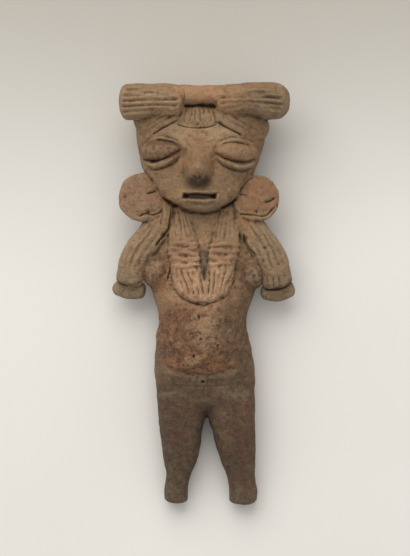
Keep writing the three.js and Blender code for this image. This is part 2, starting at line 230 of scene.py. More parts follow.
class Clay:
    """Damp lumps of clay, to be pressed together."""

    PELLET_COLUMNS = 40
    PELLET_ROWS = 28

    def __init__(self) -> None:
        """Starts with no clay."""
        self.lumps: list[bpy.types.Mesh] = []

    def lump(self, length: float, section: Callable[[Array], Section], shape: Shape) -> None:
        """Adds a closed lump: a ball whose rings become cross-sections.

        Args:
            length: The lump's length in millimetres.
            section: Gives the cross-sections at shares of the length.
            shape: How they are rounded.
        """
        ball = bmesh.new()
        bmesh.ops.create_uvsphere(ball, u_segments=shape.columns, v_segments=shape.rows, radius=1.0)
        unit = np.array([vertex.co for vertex in ball.verts])
        t = (1 + unit[:, 2]) / 2
        tip = self.end_taper(t * length, shape.ends[0]) * self.end_taper((1 - t) * length, shape.ends[1])
        turn = np.arctan2(unit[:, 1], unit[:, 0])
        share = np.abs(turn) / np.pi
        across = (1 - 2 * share + np.cos(np.pi * share)) / 2
        cut = section(t)
        front, back = cut.rise * bulge(across, shape.front), -cut.sink * bulge(across, shape.back)
        aside, lift = cut.half * across * tip, np.where(turn > 0, front, back) * tip
        spots = cut.centre + cut.side * aside[:, None] + cut.face * lift[:, None]
        for vertex, spot in zip(ball.verts, spots):
            vertex.co = spot
        self.keep(ball)

    @staticmethod
    def end_taper(distance: Array, length: float) -> Array:
        """The share of its full section that a lump has, this far from a rounded end."""
        gap = np.maximum(0, 1 - distance / length)
        return np.sqrt(np.maximum(0, 1 - gap * gap))

    def pellet(self, centre: Point, radii: Point) -> None:
        """Adds a ball of clay with its own radius each way.

        Args:
            centre: Its middle.
            radii: Its radius across, up and out.
        """
        ball = bmesh.new()
        place = Matrix.Translation(centre) @ Matrix.Diagonal((*radii, 1))
        bmesh.ops.create_uvsphere(
            ball, u_segments=self.PELLET_COLUMNS, v_segments=self.PELLET_ROWS, radius=1.0, matrix=place
        )
        self.keep(ball)

    def keep(self, ball: bmesh.types.BMesh) -> None:
        """Stores a shaped lump.

        Args:
            ball: The lump, which is used up.
        """
        mesh = bpy.data.meshes.new("lump")
        ball.to_mesh(mesh)
        ball.free()
        self.lumps.append(mesh)


@dataclass(frozen=True)
class Strip:
    """A roll or strip of clay laid along a run of points, with its front outwards."""

    STATIONS = 25

    run: Sequence[Point]
    half: Sequence[float]
    rise: Sequence[float]
    sink: Sequence[float] = (2.0,)
    shape: Shape = Shape()

    def press(self, clay: Clay, surface: Callable[[Array, Array], Array] | None = None) -> None:
        """Lays the strip.

        Args:
            clay: What it is pressed onto.
            surface: What the run's last numbers are counted from, if not the board.
        """
        line = smooth_run(self.run, self.STATIONS)
        if surface:
            line[:, 2] += surface(line[:, 0], line[:, 1])
        forward = np.gradient(line, axis=0)
        forward /= np.linalg.norm(forward, axis=1)[:, None]
        side = np.cross(forward, (0, 0, 1))
        side /= np.linalg.norm(side, axis=1)[:, None]
        face = np.cross(side, forward)
        places = np.linspace(0, 1, len(line))

        def read(rows: Array, t: Array) -> Array:
            """Reads rows of numbers between the run's places."""
            return np.stack([np.interp(t, places, axis) for axis in rows.T], axis=1)

        def section(t: Array) -> Section:
            """The strip's sections at shares of its length."""
            sizes = (graded(values, t) for values in (self.half, self.rise, self.sink))
            return Section(read(line, t), read(side, t), read(face, t), *sizes)

        length = float(np.linalg.norm(np.diff(line, axis=0), axis=1).sum())
        clay.lump(length, section, self.shape)


@dataclass(frozen=True)
class Level:
    """A slab's edges, front and back at one height."""

    up: float
    left: float
    right: float
    front: float
    back: float


@dataclass(frozen=True)
class Slab:
    """An upright slab with the outline and depths that a table of levels gives."""

    levels: Sequence[Level]
    shape: Shape
    waist: float = 0.42

    def value(self, name: str, up: Array) -> Array:
        """Reads one column of the table smoothly.

        Args:
            name: The column.
            up: Heights.

        Returns:
            The column's value at each height.
        """
        heights = np.array([level.up for level in self.levels])
        values = np.array([getattr(level, name) for level in self.levels])
        slopes = np.gradient(values, heights)
        up = np.clip(up, heights[0], heights[-1])
        start = np.clip(np.searchsorted(heights, up, side="right") - 1, 0, len(heights) - 2)
        gap = heights[start + 1] - heights[start]
        s = (up - heights[start]) / gap
        change = (values[start + 1] - values[start]) * s * s * (3 - 2 * s)
        bend = gap * s * (1 - s) * ((1 - s) * slopes[start] - s * slopes[start + 1])
        return values[start] + change + bend

    def section(self, up: Array) -> Section:
        """Cuts the slab across.

        Args:
            up: The heights of the cuts.

        Returns:
            The sections, one for each height.
        """
        left, right, front, back = (self.value(name, up) for name in ("left", "right", "front", "back"))
        middle = back + self.waist * (front - back)
        centre = np.stack([(left + right) / 2, up, middle], axis=1)
        side, face = (np.tile(axis, (len(up), 1)) for axis in ((1.0, 0, 0), (0, 0, 1.0)))
        return Section(centre, side, face, (right - left) / 2, front - middle, middle - back)

    def press(self, clay: Clay) -> None:
        """Adds the slab to the clay."""
        low, high = self.levels[0].up, self.levels[-1].up
        clay.lump(high - low, lambda t: self.section(low + t * (high - low)), self.shape)

    def front_at(self, across: Array, up: Array) -> Array:
        """How far out the slab's front is.

        Args:
            across: Places across.
            up: Places up.

        Returns:
            The front's height above the board.
        """
        cut = self.section(np.asarray(up, float))
        share = np.clip((across - cut.centre[:, 0]) / cut.half, -1, 1)
        return cut.centre[:, 2] + cut.rise * bulge(share, self.shape.front)


# Marks in the surface


def stroke(path: Sequence[Place], reach: float, spots: Array, facing: Array) -> tuple[Array, Array]:
    """Draws a mark's line and finds the surface points that the mark may move.

    Args:
        path: The places that the line passes through.
        reach: How far from the line the mark goes, in millimetres.
        spots: Surface points, in millimetres.
        facing: How much each point faces out of the front, from 0 to 1.

    Returns:
        The line's points and the numbers of the surface points.
    """
    line = smooth_run(path, STROKE_STEPS * len(path))
    low, high = line.min(axis=0) - reach, line.max(axis=0) + reach
    inside = ((spots[:, :2] > low) & (spots[:, :2] < high)).all(axis=1)
    return line, np.flatnonzero(inside & (facing > 0))


def hump(distance: Array, middle: float, breadth: float) -> Array:
    """A smooth hump of height 1 at a distance from a mark, and 0 well away from there."""
    return np.exp(-(((distance - middle) / breadth) ** 2))


def distance_to(line: Array, places: Array) -> tuple[Array, Array]:
    """Measures how far places are from a line.

    Args:
        line: The line's points.
        places: The places.

    Returns:
        Each place's distance from the line and the share of its length at the nearest point.
    """
    best = np.full(len(places), np.inf)
    share = np.zeros(len(places))
    for i in range(len(line) - 1):
        start, along = line[i], line[i + 1] - line[i]
        s = np.clip((places - start) @ along / max(1e-9, along @ along), 0, 1)
        gap = np.linalg.norm(places - start - s[:, None] * along, axis=1)
        closer = gap < best
        best = np.where(closer, gap, best)
        share = np.where(closer, (i + s) / (len(line) - 1), share)
    return best, share


@dataclass(frozen=True)
class Groove:
    """A line drawn in the damp clay with a stick."""

    # How steep its sides are
    STEEPNESS = 1.6

    # In widths of the groove: how far it reaches, where its lip stands and how broad the lip is
    REACH = 3.2
    LIP_MIDDLE = 1.7
    LIP_BREADTH = 0.6

    path: Sequence[Place]
    width: float = 0.5
    depth: float = 0.5
    lip: float = 0.0
    taper: float = 0.2

    def press(self, spots: Array, facing: Array) -> Array:
        """Works out how far the groove moves the surface out.

        Args:
            spots: Surface points, in millimetres.
            facing: How much each point faces out of the front, from 0 to 1.

        Returns:
            The move along +Z for each point, in millimetres.
        """
        line, near = stroke(self.path, self.REACH * self.width, spots, facing)
        distance, share = distance_to(line, spots[near, :2])
        end = smooth_step(0, self.taper, share) * smooth_step(0, self.taper, 1 - share)
        cut = -self.depth * np.exp(-self.STEEPNESS * (distance / self.width) ** 2)
        lip = self.lip * hump(distance, self.LIP_MIDDLE * self.width, self.LIP_BREADTH * self.width)
        moved = np.zeros(len(spots))
        moved[near] = (cut + lip) * end * facing[near]
        return moved


@dataclass(frozen=True)
class Pit:
    """A hole or a lost crumb, with a soft edge."""

    # In radii of the pit: where its edge starts and ends, where its rim stands and how broad that is
    OUTER_EDGE = 1.25
    INNER_EDGE = 0.35
    RIM_MIDDLE = 1.5
    RIM_BREADTH = 0.35

    place: Place
    radius: float
    depth: float
    stretch: float = 1.0
    rim: float = 0.0

    def press(self, spots: Array, facing: Array) -> Array:
        """Works out how far the pit moves the surface out.

        Args:
            spots: Surface points, in millimetres.
            facing: How much each point faces out of the front, from 0 to 1.

        Returns:
            The move along +Z for each point, in millimetres.
        """
        gap = (spots[:, :2] - self.place) / (1, self.stretch)
        distance = np.linalg.norm(gap, axis=1) / self.radius
        hollow = -self.depth * smooth_step(self.OUTER_EDGE, self.INNER_EDGE, distance)
        rim = self.rim * hump(distance, self.RIM_MIDDLE, self.RIM_BREADTH)
        return (hollow + rim) * facing


@dataclass(frozen=True)
class Chip:
    """Clay broken away on the right-hand side of a line, deepest at the line."""

    # The brink's width in millimetres, the share of the reach that is deepest, and each end's share
    BRINK = 0.3
    DEEPEST = 0.3
    END = 0.25

    path: Sequence[Place]
    reach: float
    depth: float

    def press(self, spots: Array, facing: Array) -> Array:
        """Works out how far the break moves the surface out.

        Args:
            spots: Surface points, in millimetres.
            facing: How much each point faces out of the front, from 0 to 1.

        Returns:
            The move along +Z for each point, in millimetres.
        """
        line, near = stroke(self.path, self.reach, spots, facing)
        places = spots[near, :2]
        distance, share = distance_to(line, places)
        at = np.clip((share * (len(line) - 1)).astype(int), 0, len(line) - 2)
        along, gap = line[at + 1] - line[at], places - line[at]
        side = along[:, 0] * gap[:, 1] - along[:, 1] * gap[:, 0]
        end = smooth_step(0, self.END, share) * smooth_step(0, self.END, 1 - share)
        inner = smooth_step(0, self.BRINK, distance)
        outer = smooth_step(self.reach, self.DEEPEST * self.reach, distance)
        moved = np.zeros(len(spots))
        moved[near] = np.where(side < 0, -self.depth * inner * outer * end, 0) * facing[near]
        return moved


@dataclass(frozen=True)
class Fan:
    """A row of grooves drawn by hand, each a little unlike the next."""

    # Between which shares of the usual depth and width each groove's own lies
    DEPTHS = (0.55, 1.3)
    WIDTHS = (0.85, 1.25)

    starts: tuple[Place, Place]
    ends: tuple[Place, Place]
    count: int
    width: float = 0.38
    depth: float = 0.4
    lip: float = 0.1
    taper: float = 0.14
    stray: float = 0.22

    def grooves(self, seed: int) -> list[Groove]:
        """Draws the row.

        Args:
            seed: Tells this row's unevenness from the others'.

        Returns:
            The grooves.
        """
        draw = np.random.default_rng(seed)
        (first, last), (foot, far) = np.array(self.starts), np.array(self.ends)
        made = []
        for share in np.linspace(0, 1, self.count):
            start = first + share * (last - first) + draw.normal(0, self.stray, 2)
            end = foot + share * (far - foot) + draw.normal(0, self.stray, 2)
            middle = (start + end) / 2 + draw.normal(0, self.stray, 2)
            path = (tuple(start), tuple(middle), tuple(end))
            depth = self.depth * float(draw.uniform(*self.DEPTHS))
            width = self.width * float(draw.uniform(*self.WIDTHS))
            made.append(Groove(path, width, depth, self.lip, self.taper))
        return made


@dataclass(frozen=True)
class Slot:
    """A straight-sided hole cut with a flat stick."""

    # In widths of the soft edge: where the lip stands and how broad it is
    LIP_MIDDLE = 2.2
    LIP_BREADTH = 1.2

    start: Place
    end: Place
    half: float
    depth: float
    edge: float = 0.25
    lip: float = 0.0

    def press(self, spots: Array, facing: Array) -> Array:
        """Works out how far the slot moves the surface out.

        Args:
            spots: Surface points, in millimetres.
            facing: How much each point faces out of the front, from 0 to 1.

        Returns:
            The move along +Z for each point, in millimetres.
        """
        start, end = np.array(self.start), np.array(self.end)
        length = float(np.linalg.norm(end - start))
        along = (end - start) / length
        gap = spots[:, :2] - (start + end) / 2
        beyond = np.abs(gap @ along) - length / 2
        aside = np.abs(gap[:, 0] * along[1] - gap[:, 1] * along[0]) - self.half
        outside = np.hypot(np.maximum(beyond, 0), np.maximum(aside, 0))
        distance = outside + np.minimum(np.maximum(beyond, aside), 0)
        cut = -self.depth * smooth_step(self.edge, -self.edge, distance)
        lip = self.lip * hump(distance, self.LIP_MIDDLE * self.edge, self.LIP_BREADTH * self.edge)
        return (cut + lip) * facing


Mark = Groove | Pit | Chip | Slot


# The parts of the figure


@dataclass
class Trunk:
    """The torso, legs, belly and breasts."""

    slab: Slab = Slab(
        (
            Level(26.6, -12.9, 14.6, 11.0, 0.4),
            Level(30, -13.9, 15.1, 12.7, -0.1),
            Level(34, -14.3, 15.1, 13.0, -0.4),
            Level(39, -14.8, 15.2, 13.4, -0.5),
            Level(47, -14.4, 14.0, 15.0, -0.4),
            Level(55, -13.5, 12.5, 15.4, 0.1),
            Level(63, -15.6, 15.0, 14.4, 0.7),
            Level(71, -17.2, 16.6, 13.6, 0.9),
            Level(78, -15.2, 14.4, 12.4, 0.9),
            Level(86, -10.8, 10.0, 10.9, 0.6),
            Level(95, -10.0, 9.2, 10.4, 0.4),
        ),
        Shape(ends=(3, 3), front=2.5, back=3.4, rows=72, columns=72),
    )
    left_leg: Sequence[Level] = (
        Level(-0.3, -11.7, -4.9, 6.4, 1.0),
        Level(3.4, -12.1, -4.9, 7.4, 0.5),
        Level(8.5, -11.4, -4.0, 8.2, 0.5),
        Level(12, -12.1, -2.5, 9.4, 0.3),
        Level(18, -12.9, -1.0, 11.2, 0.2),
        Level(22, -13.3, -0.5, 12.0, 0.1),
        Level(25.6, -13.8, 0.4, 12.6, 0.1),
        Level(36, -14.3, 0.6, 13.2, 0.3),
    )
    right_leg: Sequence[Level] = (
        Level(-0.7, 7.6, 15.2, 6.4, 1.0),
        Level(3.4, 7.3, 15.8, 7.4, 0.5),
        Level(8.5, 6.4, 15.1, 8.2, 0.5),
        Level(12, 5.0, 15.2, 9.4, 0.3),
        Level(18, 3.1, 15.3, 11.2, 0.2),
        Level(22, 2.1, 15.3, 12.0, 0.1),
        Level(25.6, 0.9, 15.3, 12.6, 0.1),
        Level(36, 0.3, 15.1, 13.2, 0.3),
    )
    belly_centre: Point = (-0.9, 49.2, 7.4)
    belly_radii: Point = (13.4, 11.0, 10.2)
    breasts: Sequence[tuple[Point, Point]] = (
        ((-14.0, 69.6, 7.6), (5.0, 5.4, 5.7)),
        ((13.3, 68.6, 7.8), (4.8, 5.2, 5.4)),
    )
    leg_shape: Shape = Shape(ends=(1.5, 4), front=2.5, back=3, rows=64, columns=56)
    under_skin: float = 1.2
    navel: Place = (-3.15, 44.0)
    ring_radii: Place = (2.2, 1.6)
    ring_drop: float = 0.2
    ring_lift: float = 0.95
    ring_turn: Place = (-1.1 * math.pi, 0.1 * math.pi)
    ring_stations: int = 9
    groin: Place = (-0.4, 36.3)

    def build(self, core: Clay, applied: Clay) -> None:
        """Presses the trunk together.

        Args:
            core: The soft body.
            applied: What is pressed onto it afterwards.
        """
        self.slab.press(core)
        Slab(self.left_leg, self.leg_shape).press(core)
        Slab(self.right_leg, self.leg_shape).press(core)
        core.pellet(self.belly_centre, self.belly_radii)
        for centre, radii in self.breasts:
            core.pellet(centre, radii)
        across, up = self.navel
        wide, tall = self.ring_radii
        ring = Strip(
            run=tuple(
                (across + wide * math.cos(a), up - self.ring_drop + tall * math.sin(a), self.ring_lift)
                for a in np.linspace(*self.ring_turn, self.ring_stations)
            ),
            half=(0.6, 0.9, 1.1, 0.9, 0.6),
            rise=(0.45,),
            sink=(1.5,),
            shape=Shape(ends=(1.2, 1.2), rows=24, columns=20),
        )
        ring.press(applied, self.belly_front)

    def belly_front(self, across: Array, up: Array) -> Array:
        """How far out the belly is, just under its skin.

        Args:
            across: Places across.
            up: Places up.

        Returns:
            The height above the board.
        """
        centre, radii = self.belly_centre, self.belly_radii
        share = ((across - centre[0]) / radii[0]) ** 2 + ((up - centre[1]) / radii[1]) ** 2
        belly = centre[2] + radii[2] * np.sqrt(np.maximum(0, 1 - share))
        return np.maximum(self.slab.front_at(across, up), belly) - self.under_skin

    def marks(self) -> list[Mark]:
        """Lists the marks that the maker and the years left on the trunk.

        Returns:
            The marks.
        """
        across, up = self.navel
        fold = ((-13.2, 41.9), (-8.1, 39.6), (-1.9, 38.5), (4.2, 39.2), (10.2, 41.0))
        return [
            Pit((across, up), 0.5, 1.1, stretch=1.3),
            Pit(self.groin, 0.65, 1.2, stretch=0.6),
            Groove(((-0.2, 35.4), (-0.1, 31.2)), width=0.3, depth=0.3, lip=0.1),
            Groove(((0.0, 32.0), (0.5, 28.6), (0.7, 25.0)), width=0.5, depth=0.2, taper=0.3),
            Groove(
                ((-14, 35.2), (-7, 35.0), (0, 35.0), (7, 35.2), (14, 35.6)), width=0.4, depth=0.16, lip=0.04
            ),
            Groove(fold, width=1.0, depth=0.4, lip=0.1, taper=0.12),
            Groove(fold, width=0.45, depth=0.2, taper=0.35),
            Pit((-1.8, 55.4), 0.55, 0.7, stretch=1.5, rim=0.12),
            Pit((-1.1, 48.9), 0.6, 0.4, rim=0.15),
            Pit((3.9, 47.2), 0.45, 0.6),
            Pit((3.1, 47.8), 0.35, 0.4),
            Pit((6.9, 48.2), 0.35, 0.4),
            Pit((-8.4, 48.3), 0.4, 0.3),
            Groove(((-9.9, 72.4), (-10.0, 69.4), (-11.3, 65.9)), width=0.35, depth=0.8),
            Chip(((-17.4, 71.0), (-15.2, 73.4), (-12.0, 73.4)), reach=2.2, depth=0.35),
            Pit((-13.0, 68.0), 0.7, 0.3),
            Pit((-15.6, 71.6), 1.1, 0.3),
            Pit((-12.4, 72.4), 0.8, 0.3),
            Pit((12.4, 70.6), 0.9, 0.3),
            Pit((14.6, 67.6), 0.7, 0.3),
        ]


@dataclass
class Face:
    """The head, with its nose, bean eyes on strips and slotted mouth."""

    slab: Slab = Slab(
        (
            Level(86.9, -3.8, 2.0, 15.4, 6.4),
            Level(87.9, -6.2, 4.2, 16.6, 4.4),
            Level(89.4, -9.6, 7.1, 17.3, 3.0),
            Level(90.9, -12.1, 9.3, 17.5, 2.2),
            Level(93.3, -14.3, 11.2, 17.4, 1.2),
            Level(96.2, -16.4, 13.4, 17.1, 0.5),
            Level(99.2, -18.2, 15.2, 17.0, 0.0),
            Level(104.5, -19.6, 17.1, 16.9, -0.5),
            Level(108, -20.2, 18.1, 16.9, -0.6),
            Level(114, -20.5, 18.4, 16.4, -0.5),
            Level(121, -20.4, 18.2, 15.4, 0.4),
        ),
        Shape(ends=(0.8, 3), front=3.6, back=3.2, rows=96, columns=80),
    )
    nose_run: Sequence[Point] = (
        (-1.2, 109.8, -1.4),
        (-1.5, 104.4, -1.4),
        (-2.0, 98.9, -1.2),
        (-2.0, 93.4, -1.2),
    )
    nose_half: Sequence[float] = (7.0, 6.0, 5.2, 4.7, 4.3, 4.2, 3.8)
    nose_rise: Sequence[float] = (1.0, 2.2, 3.8, 5.8, 8.2, 4.6, 0.5)
    beans: Sequence[Sequence[Point]] = (
        ((-17.9, 104.6, -0.7), (-14.6, 104.9, -0.7), (-10.6, 105.1, -0.7), (-7.0, 105.7, -1.2)),
        ((3.0, 104.9, -1.2), (7.0, 104.7, -0.7), (11.6, 104.3, -0.7), (15.1, 104.2, -0.7)),
    )
    lower_lids: Sequence[Sequence[Point]] = (
        (
            (-17.6, 101.5, -0.5),
            (-15, 100.5, -0.3),
            (-12.6, 101, -0.2),
            (-10, 102.2, -0.3),
            (-7.3, 104, -0.8),
        ),
        ((3.2, 103.4, -0.8), (7.0, 101.0, -0.3), (11.4, 100.0, -0.2), (14.9, 101.2, -0.5)),
    )
    upper_lids: Sequence[Sequence[Point]] = (
        (
            (-17.5, 107, -0.6),
            (-14.7, 108.3, -0.3),
            (-12, 108.3, -0.3),
            (-9, 107.4, -0.4),
            (-7, 106.4, -0.8),
        ),
        (
            (3.3, 106.0, -0.8),
            (5.6, 107.1, -0.4),
            (8.6, 107.8, -0.3),
            (12.4, 107.5, -0.3),
            (15, 106.4, -0.6),
        ),
    )
    nose_shape: Shape = Shape(ends=(5, 1.6), front=1.3, rows=96, columns=120)
    bean_halves: Sequence[float] = (2.4, 3.0, 2.9, 2.2, 0.8)
    bean_rises: Sequence[float] = (3.2, 3.8, 3.6, 2.2)
    bean_shapes: tuple[Shape, Shape] = (
        Shape(ends=(1.6, 2.2), front=2.1, rows=40, columns=40),
        Shape(ends=(2.2, 1.6), front=2.1, rows=40, columns=40),
    )
    lid_shape: Shape = Shape(ends=(1.6, 1.6), front=2.2, rows=40, columns=24)
    mouth: tuple[Place, Place] = ((-6.35, 91.35), (3.5, 91.2))
    lip_overhang: float = 1.5
    lip_lift: float = -1.8

    def build(self, core: Clay, applied: Clay) -> None:
        """Models the head and face.

        Args:
            core: The soft body.
            applied: What is pressed onto it afterwards.
        """
        front = self.slab.front_at
        self.slab.press(core)
        Strip(self.nose_run, self.nose_half, self.nose_rise, shape=self.nose_shape).press(core, front)
        both_halves = (self.bean_halves, self.bean_halves[::-1])
        eyes = zip(self.beans, both_halves, self.bean_shapes, self.lower_lids, self.upper_lids)
        for bean, halves, shape, lower, upper in eyes:
            strips = (
                Strip(bean, halves, self.bean_rises, shape=shape),
                Strip(lower, (0.6, 0.95, 1.0, 0.6), (1.7, 2.2, 1.7), shape=self.lid_shape),
                Strip(upper, (0.5, 0.8, 0.8, 0.5), (1.3, 1.7, 1.3), shape=self.lid_shape),
            )
            for strip in strips:
                strip.press(applied, front)
        (left, up), (right, other) = self.mouth
        lips = Strip(
            run=(
                (left - self.lip_overhang, up, self.lip_lift),
                (right + self.lip_overhang, other, self.lip_lift),
            ),
            half=(2.3,),
            rise=(2.7,),
            shape=Shape(ends=(2.4, 2.4), front=3.0, rows=32, columns=40),
        )
        lips.press(core, front)

    def marks(self) -> list[Mark]:
        """Lists the stick's marks in the face.

        Returns:
            The marks.
        """
        (left, up), (right, other) = self.mouth
        mouth = [
            Slot((left, up), (right, other), half=0.8, depth=1.7, edge=0.34, lip=0.24),
            Pit((left + 0.9, up), 0.9, 0.9, stretch=0.8),
            Pit((right - 0.8, other), 0.9, 0.9, stretch=0.8),
            Groove(((left, up + 0.6), (right, other + 0.6)), width=0.35, depth=0.5, taper=0.03),
            Groove(
                ((-7.3, 91.6), (-6.4, 89.9), (-3.0, 89.1), (1.4, 89.0), (4.4, 90.0), (5.0, 91.6)),
                width=0.35,
                depth=0.28,
            ),
        ]
        left_slit = ((-18.6, 102.5), (-15.8, 101.9), (-12.8, 102.2), (-9.9, 103.6), (-7.1, 104.8))
        right_slit = ((3.0, 104.3), (7.0, 102.3), (11.8, 101.5), (15.7, 102.7))
        slits = [Groove(path, width=0.35, depth=0.8, taper=0.08) for path in (left_slit, right_slit)]
        folds = [
            Groove(((-14.7, 108.0), (-12.3, 108.0), (-9.7, 107.4), (-7.3, 106.2)), width=0.35, depth=0.6),
            Groove(((4.2, 106.1), (7.6, 107.2), (11.6, 107.0), (14.6, 106.0)), width=0.3, depth=0.5),
            Groove(((-18.1, 107.9), (-13.8, 109.3), (-9.6, 108.6), (-7.0, 107.2)), width=0.5, depth=0.25),
            Groove(((3.2, 106.9), (8.2, 108.8), (15.4, 107.3)), width=0.5, depth=0.25),
            Groove(
                ((-17.7, 100.3), (-14.9, 99.3), (-11.9, 99.8), (-9.0, 101.2), (-6.9, 103.1)),
                width=0.5,
                depth=0.5,
            ),
            Groove(((3.2, 102.4), (7.0, 99.7), (11.4, 98.8), (15.4, 100.2)), width=0.5, depth=0.5),
            Groove(((-12.6, 91.6), (-10.6, 89.7), (-7.4, 87.9)), width=0.55, depth=1.5),
            Groove(((9.9, 91.2), (7.4, 89.0), (4.6, 87.5)), width=0.5, depth=1.4),
            Groove(
                ((-8.6, 88.3), (-5.4, 86.9), (-1.0, 86.3), (3.0, 86.8), (5.8, 88.0)), width=0.4, depth=0.5
            ),
            Groove(((-17.6, 99.6), (-16.6, 97.6), (-15.0, 95.4)), width=0.35, depth=0.5),
            Groove(((13.0, 99.2), (12.3, 97.0), (11.0, 94.6)), width=0.35, depth=0.5),
        ]
        return mouth + slits + folds


@dataclass
class Headdress:
    """The fluted roll over the brow, its plain band, the tuft and the parted hair.

    Each of the lobes' grooves has its share of the full flute's depth beside its path.
    """

    left_run: Sequence[Point] = (
        (-25.1, 119.2, 13.8),
        (-20.2, 119.3, 14.4),
        (-15.3, 119.9, 14.6),
        (-10.5, 119.8, 14.8),
        (-5.6, 119.7, 14.9),
    )
    left_half: Sequence[float] = (5.0, 5.5, 4.85, 4.9, 4.2)
    left_rise: Sequence[float] = (6.2, 7.6, 7.4)
    left_sink: Sequence[float] = (5.6, 6.4, 6.0)
    left_shape: Shape = Shape(ends=(2.0, 2.4), front=2.5, back=2.4, rows=72, columns=96)
    right_run: Sequence[Point] = (
        (2.4, 120.1, 14.4),
        (8.1, 119.9, 14.6),
        (13.8, 120.1, 14.6),
        (19.5, 119.5, 14.4),
        (25.3, 119.5, 13.8),
    )
    right_half: Sequence[float] = (3.9, 4.7, 4.9, 5.5, 4.8)
    right_rise: Sequence[float] = (5.4, 7.3, 6.2)
    right_sink: Sequence[float] = (6.0, 6.4, 5.6)
    right_shape: Shape = Shape(ends=(2.4, 3.8), front=2.5, back=2.4, rows=72, columns=96)
    band_run: Sequence[Point] = ((-9, 121.3, 14.6), (-1.5, 121.35, 14.6), (6.5, 121.3, 14.6))
    tuft_run: Sequence[Point] = ((-1.8, 119.0, -0.9), (-2.1, 115.4, -0.9), (-2.2, 112.1, -1.0))
    tuft_shape: Shape = Shape(ends=(1.5, 2.2), front=3.0, rows=40, columns=96)
    hair: Sequence[Sequence[Point]] = (
        ((-6.6, 119.3, -0.9), (-12.5, 115.9, -0.8), (-19.9, 111.6, -1.5)),
        ((2.2, 118.9, -0.9), (8.8, 115.1, -0.8), (18.0, 109.9, -1.5)),
    )
    hair_shape: Shape = Shape(ends=(1, 2.5), front=3.6, rows=40, columns=64)
    flute_width: float = 0.6
    flute_depth: float = 1.4
    flute_lip: float = 0.22
    lobe_grooves: Sequence[tuple[float, Sequence[Place]]] = (
        (0.3, ((-19.6, 124.0), (-12.9, 123.8), (-10.3, 123.1), (-7.6, 122.1))),
        (
            0.45,
            ((-24, 122.6), (-19, 123.0), (-15.9, 123.2), (-12.6, 122.7), (-9.6, 121.9), (-6.9, 121.1)),
        ),
        (0.36, ((-25.0, 120.8), (-19.9, 121.1), (-16.9, 121.6), (-12.9, 121.4), (-8.4, 121.0))),
        (0.42, ((-25.2, 119.3), (-19.2, 119.4), (-14.3, 119.4), (-10.3, 119.6), (-7.0, 119.9))),
        (0.45, ((-25.3, 117.6), (-19.2, 117.9), (-14.3, 118.1), (-9.6, 117.9), (-7.0, 118.3))),
        (0.3, ((-24.8, 116.2), (-17.6, 116.6), (-12.6, 116.6), (-8.6, 116.5))),
        (0.18, ((-23.0, 122.2), (-18.0, 122.2), (-13.0, 122.1))),
        (0.18, ((-21.0, 120.3), (-15.0, 120.4), (-9.0, 120.3))),
        (0.27, ((5.7, 121.6), (8.7, 122.6), (12.0, 122.9), (14.5, 123.3))),
        (0.33, ((5.9, 121.0), (10.3, 121.6), (13.6, 121.7), (18.6, 121.6))),
        (0.42, ((3.8, 120.3), (7.7, 120.4), (11.0, 120.6), (14.9, 120.6), (23.6, 120.0))),
        (0.51, ((4.0, 118.5), (7.7, 118.7), (11.0, 118.8), (15.6, 118.8), (24.2, 118.2))),
        (0.36, ((5.0, 117.3), (9.3, 117.6), (13.6, 117.8), (23.4, 117.0))),
        (0.24, ((6.3, 116.3), (11.0, 116.4), (14.9, 116.6), (20.0, 116.2))),
        (0.18, ((9.0, 123.9), (14.0, 124.0), (20.0, 123.4))),
        (0.18, ((5.0, 119.5), (11.0, 119.7), (18.0, 119.6))),
    )

    def build(self, applied: Clay, surface: Callable[[Array, Array], Array]) -> None:
        """Lays the headdress.

        Args:
            applied: The clay that it is part of.
            surface: How far out the forehead is.
        """
        left = Strip(self.left_run, self.left_half, self.left_rise, self.left_sink, self.left_shape)
        right = Strip(self.right_run, self.right_half, self.right_rise, self.right_sink, self.right_shape)
        band = Strip(self.band_run, half=(3.0,), rise=(6.2,), sink=(5.6,), shape=Shape(front=2.3))
        for roll in (left, right, band):
            roll.press(applied)
        tuft = Strip(self.tuft_run, half=(5.3, 6.2, 6.6), rise=(2.4, 2.3, 2.0), shape=self.tuft_shape)
        tuft.press(applied, surface)
        for run in self.hair:
            lock = Strip(run, half=(3.9,), rise=(2.3, 2.3, 2.0), shape=self.hair_shape)
            lock.press(applied, surface)

    def marks(self) -> list[Mark]:
        """Lists the flutes and the marks that set the headdress's pieces off from each other.

        Returns:
            The marks.
        """
        flutes = [
            Groove(path, self.flute_width, self.flute_depth * share, self.flute_lip, taper=0.1)
            for share, path in self.lobe_grooves
        ]
        tuft = Fan(
            starts=((-6.5, 117.4), (2.5, 117.4)),
            ends=((-7.6, 112.8), (3.6, 112.8)),
            count=8,
            width=0.44,
            depth=0.34,
        )
        gaps = [
            Groove(
                ((-6.7, 118.2), (-4.0, 118.0), (-1.8, 118.2), (1.0, 118.0), (3.8, 117.8)),
                width=0.7,
                depth=1.6,
                taper=0.05,
            ),
            Groove(((-8.0, 113.9), (-11.8, 111.8), (-15.8, 109.4)), width=0.35, depth=0.9, taper=0.12),
            Groove(((3.6, 113.4), (7.4, 111.2), (11.4, 109.1)), width=0.35, depth=0.9, taper=0.12),
            Groove(((-8.6, 115.6), (-12.6, 113.4), (-17.2, 110.6)), width=0.4, depth=0.35),
            Groove(((-10.4, 116.0), (-14.0, 114.0), (-18.4, 111.6)), width=0.4, depth=0.3),
            Groove(((4.8, 115.2), (9.4, 112.6), (14.6, 109.8)), width=0.4, depth=0.35),
            Groove(((7.4, 115.4), (11.4, 113.1), (16.4, 110.4)), width=0.4, depth=0.3),
            Groove(((-6.6, 123.4), (-5.9, 121.2), (-6.2, 118.8)), width=0.3, depth=0.4),
            Groove(
                ((-8.9, 114.2), (-7.2, 112.2), (-2.2, 111.5), (2.6, 112.1), (4.4, 113.8)),
                width=0.35,
                depth=0.6,
            ),
        ]
